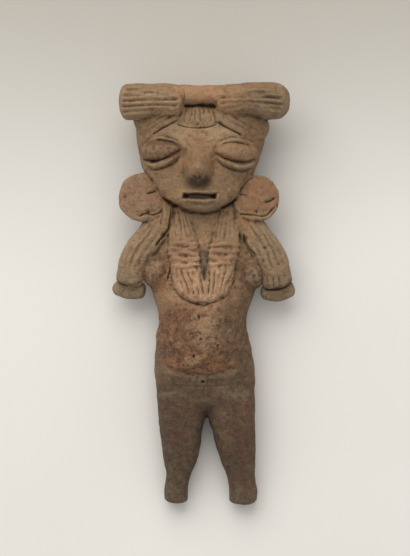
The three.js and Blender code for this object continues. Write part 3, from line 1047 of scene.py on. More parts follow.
        return flutes + tuft.grooves(seed=21) + gaps


@dataclass
class EarDiscs:
    """The two discs in the ears, with short notches and a broken lower rim."""

    centres: Sequence[Point] = ((-18.6, 90.95, 11.4), (15.4, 90.85, 11.4))
    radii: Sequence[tuple[float, float]] = ((7.0, 7.3), (6.7, 6.95))
    thickness: float = 4.2
    crown: float = 0.4

    def build(self, applied: Clay) -> None:
        """Presses the discs on.

        Args:
            applied: The clay that they are part of.
        """
        for (across, up, out), (wide, tall) in zip(self.centres, self.radii):
            run = ((across - wide, up, out), (across, up, out + self.crown), (across + wide, up, out))
            shape = Shape(ends=(wide, wide), front=5.0, back=5.0, rows=56, columns=72)
            Strip(run, (tall,), (self.thickness / 2,), (self.thickness / 2,), shape).press(applied)

    def marks(self) -> list[Mark]:
        """Lists the notches and the breaks in the discs.

        Returns:
            The marks.
        """
        left_rim = ((-12.8, 87.8), (-16.1, 86.0), (-19.4, 85.0), (-21.6, 85.4))
        right_rim = ((20.6, 87.2), (18.2, 85.6), (15.2, 85.9), (12.3, 86.6), (9.8, 87.7))
        return [
            Groove(((-17.3, 92.1), (-16.0, 92.3), (-14.2, 92.9)), width=0.35, depth=0.7, taper=0.15),
            Pit((-23.6, 91.3), 0.7, 0.35, stretch=1.1),
            Pit((-16.9, 86.8), 0.75, 0.6, stretch=0.8),
            Chip(left_rim, reach=2.6, depth=0.5),
            Groove(
                ((-12.3, 87.5), (-14.7, 85.8), (-17.4, 86.1), (-19.6, 85.2)),
                width=0.35,
                depth=0.8,
                taper=0.1,
            ),
            Groove(((10.4, 92.0), (12.8, 91.6)), width=0.3, depth=0.5),
            Groove(
                ((17.8, 90.1), (18.2, 89.7), (19.4, 90.1), (20.9, 90.9)), width=0.32, depth=0.9, taper=0.1
            ),
            Groove(((16.1, 96.9), (16.4, 95.2)), width=0.3, depth=0.35),
            Groove(((10.6, 93.0), (12.9, 96.0), (15.4, 97.3)), width=0.3, depth=0.4),
            Pit((15.3, 86.7), 0.4, 0.35, stretch=1.6),
            Groove(
                ((10.0, 86.3), (13.2, 85.8), (16.8, 85.5), (18.9, 86.1), (21.2, 88.8)),
                width=0.35,
                depth=0.7,
                lip=0.1,
                taper=0.1,
            ),
            Chip(right_rim, reach=2.6, depth=0.4),
            Pit((21.8, 88.6), 0.7, 0.6),
        ]


@dataclass
class Arms:
    """The flat fluted arms, their hands and the locks of hair over their tops."""

    runs: Sequence[Sequence[Point]] = (
        ((-11.4, 87, 8.8), (-16.1, 79.6, 9.4), (-20.8, 73, 9.2), (-22.7, 64.9, 8.4)),
        ((11.6, 87, 8.8), (15.5, 79.6, 9.4), (20.0, 73, 9.2), (22.0, 64.2, 8.4)),
    )
    halves: Sequence[Sequence[float]] = ((4.0, 4.2, 4.2, 3.9), (4.0, 4.3, 4.4, 4.3))
    arm_shape: Shape = Shape(ends=(2, 1.6), front=3.0, back=2.4, rows=56, columns=64)
    hand_shape: Shape = Shape(ends=(1.7, 1.7), front=3.0, back=2.8, rows=36, columns=40)
    lock_shape: Shape = Shape(ends=(1, 1.8), front=2.4, rows=32, columns=40)
    hands: Sequence[Sequence[Point]] = (
        ((-27.3, 64.7, 6.2), (-23.0, 63.4, 6.6), (-17.5, 63.5, 6.4)),
        ((16.8, 63.2, 6.4), (21.5, 62.6, 6.6), (26.6, 64.6, 6.2)),
    )
    locks: Sequence[Sequence[Point]] = (
        ((-11.3, 91, 9.6), (-11.5, 86, 11.4), (-12.1, 80.4, 11.2)),
        ((10.4, 91, 9.6), (11.2, 86, 10.6), (11.8, 82.0, 10.0)),
    )
    ridges: Sequence[Sequence[Place]] = (
        ((-13.2, 84.6), (-16.4, 80.2), (-20.0, 75.6), (-22.6, 69.2)),
        ((-15.2, 84.0), (-18.4, 80.0), (-22.0, 75.4), (-24.2, 69.6)),
        ((-12.6, 81.6), (-14.8, 78.8), (-18.6, 73.6), (-20.8, 68.4)),
        ((-17.6, 82.0), (-20.8, 78.6), (-23.8, 74.0), (-25.4, 69.8)),
        ((12.6, 84.2), (15.6, 79.6), (18.6, 74.4), (20.4, 68.6)),
        ((14.4, 84.0), (17.6, 79.8), (20.6, 74.6), (22.4, 69.0)),
        ((16.4, 83.4), (19.4, 79.4), (22.4, 74.2), (24.2, 69.0)),
        ((12.4, 80.8), (14.0, 77.6), (16.8, 73.2), (18.6, 68.4)),
    )

    def build(self, applied: Clay) -> None:
        """Lays the arms, hands and locks.

        Args:
            applied: The clay that they are part of.
        """
        for run, half, hand, hair in zip(self.runs, self.halves, self.hands, self.locks):
            strips = (
                Strip(run, half, rise=(3.2, 3.5, 3.6, 3.4), sink=(3.1,), shape=self.arm_shape),
                Strip(hand, half=(2.1, 2.5, 2.4), rise=(2.8,), sink=(2.6,), shape=self.hand_shape),
                Strip(hair, half=(1.6, 1.9, 1.0), rise=(2.0, 2.0, 1.2), sink=(3,), shape=self.lock_shape),
            )
            for strip in strips:
                strip.press(applied)

    def marks(self) -> list[Mark]:
        """Lists the wrists' creases, the finger grooves, the flutes and the cracks beside the arms.

        Returns:
            The marks.
        """
        wrists = [
            Groove(
                ((-26.2, 67.2), (-24.8, 65.6), (-22.4, 65.0), (-20.1, 65.4), (-18.5, 66.5)),
                width=0.4,
                depth=0.9,
                taper=0.1,
            ),
            Groove(
                ((17.4, 64.4), (19.2, 63.7), (22.4, 63.9), (24.8, 65.4), (26.2, 67.2)),
                width=0.4,
                depth=0.9,
                taper=0.1,
            ),
        ]
        fingers = [
            Groove(((across - 0.3, 67.6), (across, 64.2)), width=0.35, depth=0.5)
            for across in (18.8, 20.6, 22.4)
        ]
        ridges = [Groove(path, width=0.5, depth=0.26, lip=0.16, taper=0.2) for path in self.ridges]
        locks = [
            Groove(((-11.0, 89.0), (-11.0, 85.6), (-11.6, 81.8)), width=0.3, depth=0.3),
            Groove(((-12.4, 88.6), (-12.9, 85.4), (-12.8, 82.2)), width=0.35, depth=0.5),
        ]
        cracks = [
            Groove(
                ((-9.6, 87.6), (-10.1, 86.0), (-10.5, 82.9), (-11.7, 80.5), (-14.6, 76.4)),
                width=0.36,
                depth=1.7,
                taper=0.1,
            ),
            Pit((-12.2, 79.9), 0.8, 0.9, stretch=1.3),
            Groove(
                ((11.5, 80.6), (12.3, 77.8), (13.6, 75.4), (15.9, 73.3)), width=0.45, depth=1.4, taper=0.15
            ),
            Pit((12.0, 78.4), 0.8, 0.9, stretch=1.6),
        ]
        return wrists + fingers + ridges + locks + cracks


@dataclass(frozen=True)
class Tie:
    """One turn of the tie round a strand."""

    up: float
    left: float
    right: float
    half: float


@dataclass
class Strands:
    """The two strands that hang from the neck, tied low down, and the bib they end in."""

    runs: Sequence[Sequence[Place]] = (
        ((-7.6, 89.5), (-7.3, 84.8), (-6.8, 80.1), (-6.2, 75.4), (-5.5, 70.7), (-4.7, 66.0), (-3.6, 61.3)),
        ((6.7, 89.5), (6.8, 84.8), (6.4, 80.1), (5.8, 75.4), (5.0, 70.7), (4.2, 66.0), (3.0, 61.3)),
    )
    halves: Sequence[Sequence[float]] = (
        (1.9, 2.5, 3.9, 4.5, 4.45, 4.5, 3.6),
        (2.6, 3.0, 3.8, 4.4, 4.15, 4.1, 3.3),
    )
    cord_shape: Shape = Shape(ends=(2, 3.0), front=3.0, rows=72, columns=72)
    lift: float = -0.5
    top_rise: float = 1.9
    rise: float = 2.3
    bib: Slab = Slab(
        (
            Level(59.5, -3.0, 1.4, 15.5, 8),
            Level(60.0, -4.4, 2.6, 16.0, 8),
            Level(60.8, -6.0, 4.3, 16.2, 8),
            Level(61.7, -7.2, 5.8, 16.1, 8),
            Level(63.4, -8.8, 7.5, 15.7, 8),
            Level(65.0, -9.4, 8.1, 15.4, 8),
            Level(66.8, -9.6, 8.4, 15.0, 8),
        ),
        Shape(ends=(0.6, 1.2), front=3.2, back=3, rows=56, columns=96),
    )
    ties: Sequence[Sequence[Tie]] = (
        (
            Tie(77.4, -9.3, -1.9, 0.85),
            Tie(75.8, -10.7, -2.2, 0.65),
            Tie(74.5, -10.5, -1.8, 0.75),
            Tie(72.7, -9.6, -1.3, 0.9),
            Tie(70.8, -9.2, -1.3, 0.75),
        ),
        (
            Tie(77.2, 1.6, 10.1, 0.8),
            Tie(75.1, 1.2, 10.2, 0.85),
            Tie(73.1, 0.9, 9.7, 0.9),
            Tie(71.4, 1.2, 8.2, 0.65),
        ),
    )
    tie_seed: int = 3
    tie_stations: int = 9
    tie_swells: int = 5
    tie_shape: Shape = Shape(ends=(0.9, 0.9), front=2.6, rows=40, columns=24)
    tie_lift: float = 0.65
    tie_rise: float = 1.1
    tie_sink: float = 1.2
    tie_sway: float = 0.28
    tie_edge: float = 0.96
    tie_swelling: tuple[float, float] = (0.68, 0.98)
    hair_lines: dict[str, float] = field(default_factory=lambda: {"count": 5, "depth": 0.3})
    bib_flutes: dict[str, float] = field(
        default_factory=lambda: {"count": 5, "width": 0.45, "depth": 0.38, "lip": 0.2}
    )

    def build(self, applied: Clay, surface: Callable[[Array, Array], Array]) -> None:
        """Lays the strands.

        Args:
            applied: The clay that they are part of.
            surface: How far out the chest is.
        """
        for run, half in zip(self.runs, self.halves):
            lifted = tuple((across, up, self.lift) for across, up in run)
            cord = Strip(lifted, half, rise=(self.top_rise, self.rise), shape=self.cord_shape)
            cord.press(applied, surface)
        self.bib.press(applied)
        draw = np.random.default_rng(self.tie_seed)
        for side, ties in enumerate(self.ties):
            for tie in ties:
                halves = tie.half * draw.uniform(*self.tie_swelling, self.tie_swells)
                line = self.over_strand(side, tie)
                turn = Strip(line, halves, (self.tie_rise,), (self.tie_sink,), self.tie_shape)
                turn.press(applied, surface)

    def over_strand(self, side: int, tie: Tie) -> tuple[Point, ...]:
        """The line that a tie takes over its strand, from edge to edge.

        Args:
            side: Which strand.
            tie: The tie.

        Returns:
            The line, counted from the chest.
        """
        heights = [place[1] for place in self.runs[side]][::-1]
        middle = float(np.interp(tie.up, heights, [place[0] for place in self.runs[side]][::-1]))
        half = float(np.interp(tie.up, heights, self.halves[side][::-1]))
        places = np.linspace(tie.left, tie.right, self.tie_stations)
        shares = np.clip((places - middle) / half, -self.tie_edge, self.tie_edge)
        strand = self.lift + self.rise * bulge(shares, self.cord_shape.front)
        tops = strand + self.tie_lift - self.tie_rise
        ups = tie.up + self.tie_sway * np.sin(4 * shares + 2.3 * tie.up)
        return tuple(zip(places.tolist(), ups.tolist(), tops.tolist()))

    def marks(self) -> list[Mark]:
        """Lists the hair lines in the strands, the bib's flutes and its lower edge.

        Returns:
            The marks.
        """
        rows = (
            Fan(((-9.0, 87.6), (-6.2, 87.8)), ((-10.0, 78.8), (-3.2, 78.8)), **self.hair_lines),
            Fan(((4.8, 87.8), (8.8, 87.6)), ((2.8, 78.5), (9.4, 78.5)), **self.hair_lines),
            Fan(((-8.9, 70.0), (-1.7, 69.3)), ((-5.7, 62.1), (-0.1, 61.7)), **self.bib_flutes),
            Fan(((8.4, 70.4), (1.5, 69.7)), ((5.4, 62.4), (1.0, 61.8)), **self.bib_flutes),
        )
        lines = [groove for seed, row in enumerate(rows) for groove in row.grooves(seed)]
        edges = [
            Groove(
                ((-9.6, 65), (-8.3, 62.7), (-5.1, 60.3), (-0.8, 59.2), (2.8, 59.8), (5.6, 61), (7.9, 63.4)),
                width=0.35,
                depth=0.36,
            ),
            Groove(((-0.2, 71.0), (0.0, 68.6), (0.0, 65.4)), width=0.5, depth=0.3),
        ]
        return lines + edges


# From damp clay to an old dry surface


class Depth(Enum):
    """How deep a place lies: in the fine marks, or in the figure's larger forms."""

    GROOVE = "groove"
    HOLLOW = "hollow"


@dataclass
class Figurine:
    """The whole figure, from its lumps to the finished mesh.

    Waver draws the stick's marks a little crooked, and swell and tooth roughen the surface. Each is
    given as a size and a reach in millimetres, and tooth as a number of layers too. A worn place has
    a centre and radii. Crumbs have two corners of their area and their number.
    """

    trunk: Trunk = field(default_factory=Trunk)
    face: Face = field(default_factory=Face)
    headdress: Headdress = field(default_factory=Headdress)
    discs: EarDiscs = field(default_factory=EarDiscs)
    arms: Arms = field(default_factory=Arms)
    strands: Strands = field(default_factory=Strands)
    core_voxel: float = 0.36
    core_smoothing: int = 10
    skin_voxel: float = 0.26
    skin_smoothing: int = 3
    triangle_limit: int = 190_000
    seed: int = 11
    smoothing_rounds: dict[Depth, int] = field(
        default_factory=lambda: {Depth.GROOVE: 14, Depth.HOLLOW: 160}
    )
    smoothing_pull: float = 0.6
    least_facing: float = 0.05
    full_facing: float = 0.45
    waver: Sequence[tuple[float, float]] = ((2.2, 0.18), (0.8, 0.08))
    waver_shift: float = 31.0
    headdress_waver: float = 0.35
    swell: tuple[float, float] = (7.0, 0.2)
    tooth: Sequence[tuple[float, float, int]] = ((2.6, 0.14, 4), (0.9, 0.05, 2))
    worn: Sequence[tuple[Place, Place]] = (
        ((-14.0, 69.8), (6.0, 6.5)),
        ((12.8, 69.0), (6.0, 6.0)),
        ((-1.0, 50.0), (13.0, 10.0)),
        ((-1.0, 113.5), (20.0, 5.0)),
        ((-18.0, 91.0), (8.0, 8.0)),
        ((15.4, 91.0), (8.0, 8.0)),
        ((0.0, 66.0), (10.0, 14.0)),
    )
    worn_edge: tuple[float, float] = (1.3, 0.7)
    crumbs: Sequence[tuple[Place, Place, int]] = (
        ((-12, 40), (11, 58), 90),
        ((-12, 8), (-2, 34), 40),
        ((4, 8), (14, 34), 40),
        ((-17, 64), (-9, 74), 22),
        ((-18, 92), (14, 112), 40),
        ((-24, 60), (24, 125), 60),
    )
    crumb_radii: tuple[float, float] = (0.25, 0.6)
    crumb_depths: tuple[float, float] = (0.1, 0.45)

    def build(self) -> bpy.types.Object:
        """Makes the clay figure.

        Returns:
            The finished object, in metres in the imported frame.
        """
        core, applied = Clay(), Clay()
        self.trunk.build(core, applied)
        self.face.build(core, applied)
        self.headdress.build(applied, self.face.slab.front_at)
        self.discs.build(applied)
        self.arms.build(applied)
        self.strands.build(applied, self.trunk.slab.front_at)
        LOG.info("core of %d lumps, %d applied", len(core.lumps), len(applied.lumps))
        body = self.work(core.lumps, self.core_voxel, self.core_smoothing)
        whole = self.work([body, *applied.lumps], self.skin_voxel, self.skin_smoothing)
        LOG.info("worked surface of %d vertices", len(whole.vertices))
        self.mark(whole)
        mesh = self.thin(whole)
        self.settle(mesh)
        self.store_depths(mesh)
        return self.place(mesh)

    def work(self, lumps: Sequence[bpy.types.Mesh], voxel: float, smoothing: int) -> bpy.types.Mesh:
        """Works separate lumps into one skin.

        Args:
            lumps: The lumps, which are used up.
            voxel: The skin's grain in millimetres.
            smoothing: How many strokes of a damp finger smooth it.

        Returns:
            The skin as a mesh.
        """
        joined = bpy.data.meshes.new("lumps")
        gathered = bmesh.new()
        for lump in lumps:
            gathered.from_mesh(lump)
            bpy.data.meshes.remove(lump)
        gathered.to_mesh(joined)
        gathered.free()
        remesh = {"mode": "VOXEL", "voxel_size": voxel, "adaptivity": 0.0}
        smooth = {"factor": 0.5, "iterations": smoothing}
        return self.through(joined, {"REMESH": remesh, "SMOOTH": smooth})

    @staticmethod
    def through(mesh: bpy.types.Mesh, modifiers: dict[str, dict[str, object]]) -> bpy.types.Mesh:
        """Puts a mesh through modifiers.

        Args:
            mesh: The mesh, which is used up.
            modifiers: Each modifier's type with its settings.

        Returns:
            The mesh that comes out.
        """
        holder = bpy.data.objects.new("holder", mesh)
        bpy.context.scene.collection.objects.link(holder)
        for kind, settings in modifiers.items():
            modifier = holder.modifiers.new(kind, kind)
            for name, value in settings.items():
                setattr(modifier, name, value)
        seen = holder.evaluated_get(bpy.context.evaluated_depsgraph_get())
        made = bpy.data.meshes.new_from_object(seen)
        bpy.data.objects.remove(holder)
        bpy.data.meshes.remove(mesh)
        return made

    def mark(self, mesh: bpy.types.Mesh) -> None:
        """Presses every mark into the surface, then roughens it.

        Args:
            mesh: The skin, in millimetres.
        """
        spots, normals = read_vertices(mesh)
        facing = smooth_step(0.0, self.full_facing, normals[:, 2])
        facing[facing <= self.least_facing] = 0
        noise = ClayNoise(self.seed)
        drawn = spots.copy()
        for size, reach in self.waver:
            waver = [noise.at(spots + shift, size) for shift in (0.0, self.waver_shift)]
            drawn[:, :2] += reach * np.stack(waver, axis=1)
        steady = spots + self.headdress_waver * (drawn - spots)
        moved = np.zeros(len(spots))
        for mark in self.headdress.marks():
            moved += mark.press(steady, facing)
        parts = (self.trunk, self.face, self.discs, self.arms, self.strands)
        for mark in [mark for part in parts for mark in part.marks()] + self.wear_pits():
            moved += mark.press(drawn, facing)
        tooth = sum(reach * noise.layered(spots, size, layers) for size, reach, layers in self.tooth)
        size, reach = self.swell
        uneven = reach * noise.at(spots, size) + tooth * (1 + self.wear_share(spots))
        write_vertices(mesh, spots + normals * uneven[:, None] + np.outer(moved, (0, 0, 1)))

    def wear_share(self, spots: Array) -> Array:
        """How worn each place is, from 0 to 1.

        Args:
            spots: Points in millimetres.

        Returns:
            The share for each point.
        """
        share = np.zeros(len(spots))
        for centre, radii in self.worn:
            distance = np.linalg.norm((spots[:, :2] - centre) / radii, axis=1)
            share = np.maximum(share, smooth_step(*self.worn_edge, distance))
        return share

    def wear_pits(self) -> list[Mark]:
        """Scatters small lost crumbs over the figure, most of them over the belly and the legs.

        Returns:
            The pits.
        """
        draw = np.random.default_rng(self.seed)
        pits: list[Mark] = []
        for low, high, count in self.crumbs:
            for across, up in draw.uniform(low, high, (count, 2)):
                radius = float(draw.uniform(*self.crumb_radii))
                depth = float(draw.uniform(*self.crumb_depths)) * radius
                pits.append(Pit((float(across), float(up)), radius, depth))
        return pits

    def thin(self, mesh: bpy.types.Mesh) -> bpy.types.Mesh:
        """Keeps the mesh under its limit of triangles.

        Args:
            mesh: The marked skin, which is used up.

        Returns:
            The thinned mesh.
        """
        ratio = min(1.0, self.triangle_limit / count_triangles(mesh))
        return self.through(mesh, {"DECIMATE": {"decimate_type": "COLLAPSE", "ratio": ratio}})

    @staticmethod
    def settle(mesh: bpy.types.Mesh) -> None:
        """Flattens the back where the board was.

        Args:
            mesh: The skin, in millimetres.
        """
        spots, _ = read_vertices(mesh)
        spots[:, 2] = np.maximum(spots[:, 2], 0.0)
        write_vertices(mesh, spots)

    def store_depths(self, mesh: bpy.types.Mesh) -> None:
        """Stores how deep each place lies, near and far, for the finish to read.

        Args:
            mesh: The finished skin, in millimetres.
        """
        spots, normals = read_vertices(mesh)
        edges = np.zeros(len(mesh.edges) * 2, int)
        mesh.edges.foreach_get("vertices", edges)
        ends = edges.reshape(-1, 2)
        degree = np.maximum(1, np.bincount(ends.ravel(), minlength=len(spots)))[:, None]
        smooth = spots.copy()
        for kind, rounds in self.smoothing_rounds.items():
            for _ in range(rounds):
                total = np.zeros_like(smooth)
                for axis in range(3):
                    total[:, axis] = np.bincount(ends[:, 0], smooth[ends[:, 1], axis], len(spots))
                    total[:, axis] += np.bincount(ends[:, 1], smooth[ends[:, 0], axis], len(spots))
                smooth = (1 - self.smoothing_pull) * smooth + self.smoothing_pull * total / degree
            depth = ((smooth - spots) * normals).sum(axis=1)
            stored = mesh.attributes.new(kind.value, "FLOAT", "POINT")
            stored.data.foreach_set("value", depth.astype(np.float32))
            least, most = np.percentile(depth, (1, 99))
            LOG.info("%s from %.2f to %.2f mm", kind.value, least, most)

    @staticmethod
    def place(mesh: bpy.types.Mesh) -> bpy.types.Object:
        """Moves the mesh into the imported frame.

        Args:
            mesh: The finished skin, in millimetres.

        Returns:
            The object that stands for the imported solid.
        """
        low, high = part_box(NODE)
        spots, _ = read_vertices(mesh)
        target = np.array((low + high) / 2)
        spots[:, :2] = (spots[:, :2] - MIDDLE) * MILLIMETRE + target[:2]
        spots[:, 2] = spots[:, 2] * MILLIMETRE + low.z
        write_vertices(mesh, spots)
        mesh.shade_smooth()
        piece = bpy.data.objects.new("clay_figure", mesh)
        bpy.context.scene.collection.objects.link(piece)
        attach(piece, BODY)
        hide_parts(NODE)
        LOG.info("clay_figure: %d triangles", count_triangles(mesh))
        return piece


def count_triangles(mesh: bpy.types.Mesh) -> int:
    """How many triangles a mesh's faces make."""
    return sum(len(polygon.vertices) - 2 for polygon in mesh.polygons)


def read_vertices(mesh: bpy.types.Mesh) -> tuple[Array, Array]:
    """Reads a mesh's vertices and their normals.

    Args:
        mesh: The mesh.

    Returns:
        The places and the normals, one a row.
    """
    spots = np.zeros(len(mesh.vertices) * 3)
    mesh.vertices.foreach_get("co", spots)
    normals = np.zeros(len(mesh.vertices) * 3, np.float32)
    mesh.vertex_normals.foreach_get("vector", normals)
    return spots.reshape(-1, 3), normals.reshape(-1, 3).astype(float)


def write_vertices(mesh: bpy.types.Mesh, spots: Array) -> None:
    """Moves a mesh's vertices to new places."""
    mesh.vertices.foreach_set("co", spots.ravel())
    mesh.update()


# The fired clay's finish


class Wire:
    """A shader socket that takes part in Python expressions."""

    def __init__(self, tree: "ShaderTree", socket: bpy.types.NodeSocket) -> None:
        """Wraps a socket.

        Args:
            tree: The tree that it is in.
            socket: The output socket.
        """
        self.tree = tree
        self.socket = socket

    def __add__(self, other: "Value") -> "Wire":
        """This plus another value."""
        return self.tree.maths("ADD", self, other)

    def __sub__(self, other: "Value") -> "Wire":
        """This minus another value."""
        return self.tree.maths("SUBTRACT", self, other)

    def __mul__(self, other: "Value") -> "Wire":
        """This times another value."""
        return self.tree.maths("MULTIPLY", self, other)

    def __rsub__(self, other: float) -> "Wire":
        """A number minus this."""
        return self.tree.maths("SUBTRACT", other, self)

    __radd__ = __add__
    __rmul__ = __mul__

    def clamped(self) -> "Wire":
        """This, kept from 0 to 1."""
        wire = self.tree.maths("MAXIMUM", self, 0.0)
        return self.tree.maths("MINIMUM", wire, 1.0)

    def between(self, low: float, high: float) -> "Wire":
        """Rises smoothly from 0 to 1 as this goes from low to high.

        Args:
            low: The value up to which the result is 0.
            high: The value from which it is 1.

        Returns:
            The result.
        """
        settings = {"interpolation_type": "SMOOTHSTEP", "data_type": "FLOAT"}
        sockets = {"Value": self, "From Min": low, "From Max": high, "To Min": 0.0, "To Max": 1.0}
        return self.tree.node("ShaderNodeMapRange", settings, sockets, "Result")


Value = Wire | float
Colour = tuple[float, float, float, float]


def srgb(red: int, green: int, blue: int) -> Colour:
    """Turns a display colour into a shader's linear one.

    Args:
        red: The red part, from 0 to 255.
        green: The green part.
        blue: The blue part.

    Returns:
        The linear colour, opaque.
    """
    parts = [c / 255 for c in (red, green, blue)]
    linear = [c / 12.92 if c <= 0.04045 else ((c + 0.055) / 1.055) ** 2.4 for c in parts]
    return (linear[0], linear[1], linear[2], 1.0)


class ShaderTree:
    """A material's nodes, made by expressions."""

    def __init__(self, material: bpy.types.Material) -> None:
        """Clears the material's nodes and starts with the place on the surface.

        Args:
            material: The material to fill.
        """
        material.use_nodes = True
        self.tree = material.node_tree
        self.tree.nodes.clear()
        self.place = self.node("ShaderNodeTexCoord", {}, {}, "Object")

    def node(
        self,
        kind: str,
        settings: dict[str, object],
        sockets: dict[str | int, object],
        output: str | int = 0,
    ) -> Wire:
        """Adds a node.

        Args:
            kind: The node's type.
            settings: Its settings, which are made first.
            sockets: Values or wires for its inputs, by name or number.
            output: Which output to return.

        Returns:
            The output as a wire.
        """
        made = self.tree.nodes.new(kind)
        for name, value in settings.items():
            setattr(made, name, value)
        for name, value in sockets.items():
            if isinstance(value, Wire):
                self.tree.links.new(value.socket, made.inputs[name])
            else:
                made.inputs[name].default_value = value
        return Wire(self, made.outputs[output])

    def finish(self, sockets: dict[str | int, object]) -> None:
        """Ends the material with a surface.

        Args:
            sockets: The surface's values or wires.
        """
        skin = self.node("ShaderNodeBsdfPrincipled", {}, sockets, "BSDF")
        output = self.tree.nodes.new("ShaderNodeOutputMaterial")
        self.tree.links.new(skin.socket, output.inputs["Surface"])

    def maths(self, operation: str, left: Value, right: Value) -> Wire:
        """Reckons one operation on two values."""
        return self.node("ShaderNodeMath", {"operation": operation}, {0: left, 1: right})

    def mixed(self, low: Wire | Colour, high: Wire | Colour, share: Value) -> Wire:
        """Mixes two colours.

        Args:
            low: The colour at share 0.
            high: The colour at share 1.
            share: How much of the second one.

        Returns:
            The mixed colour.
        """
        settings = {"data_type": "RGBA", "blend_type": "MIX"}
        return self.node("ShaderNodeMix", settings, {0: share, 6: low, 7: high}, 2)

    def noise(self, size: float, detail: float = 3.0, roughness: float = 0.6) -> Wire:
        """Soft random patches.

        Args:
            size: The patches' size in millimetres.
            detail: How many finer layers.
            roughness: How strong those are.

        Returns:
            A value from 0 to 1, mostly near 0.5.
        """
        scale = 1 / (size * MILLIMETRE)
        sockets = {"Vector": self.place, "Scale": scale, "Detail": detail, "Roughness": roughness}
        return self.node("ShaderNodeTexNoise", {"noise_dimensions": "3D"}, sockets, "Fac")


class ClayTree(ShaderTree):
    """The clay's nodes, which know where the maker's measure starts in the frame."""

    def __init__(self, material: bpy.types.Material, start: Place) -> None:
        """Starts the material.

        Args:
            material: The material to fill.
            start: Where the maker's measure starts along X and Y, in metres.
        """
        super().__init__(material)
        self.start = start

    def depth(self, kind: Depth) -> Wire:
        """How deep each place lies, in millimetres."""
        return self.node("ShaderNodeAttribute", {"attribute_name": kind.value}, {}, "Fac")

    def ball(self, centre: Place, radii: Place, soft: float) -> Wire:
        """A soft-edged area of the figure, in the maker's measure.

        Args:
            centre: Its middle, in millimetres.
            radii: Its size each way, in millimetres.
            soft: The share of the radius over which it fades.

        Returns:
            1 inside, fading to 0 outside.
        """
        across, up = (value * MILLIMETRE + start for value, start in zip(centre, self.start))
        wide, tall = (value * MILLIMETRE for value in radii)
        kind = "ShaderNodeVectorMath"
        moved = self.node(kind, {"operation": "SUBTRACT"}, {0: self.place, 1: (across, up, 0.0)})
        scaled = self.node(kind, {"operation": "DIVIDE"}, {0: moved, 1: (wide, tall, 1.0)})
        far = self.node(kind, {"operation": "LENGTH"}, {0: scaled}, "Value")
        return 1 - far.between(1 - soft, 1 + soft)


@dataclass(frozen=True)
class Fade:
    """From which value to which a layer of colour fades in, and how strong it gets."""

    low: float
    high: float
    strength: float = 1.0

    def share(self, wire: Wire) -> Wire:
        """How much of the layer there is."""
        return wire.between(self.low, self.high) * self.strength


@dataclass(frozen=True)
class Mottle:
    """Random patches with their size in millimetres, and how they fade in."""

    size: float
    fade: Fade
    detail: float = 3.0
    roughness: float = 0.6

    def share(self, tree: ShaderTree) -> Wire:
        """How much of the patches' colour there is."""
        return self.fade.share(tree.noise(self.size, self.detail, self.roughness))


@dataclass(frozen=True)
class Zone:
    """A patch of the figure with a tone of its own, in the maker's measure."""

    centre: Place
    radii: Place
    colour: Colour
    strength: float
    soft: float = 0.5


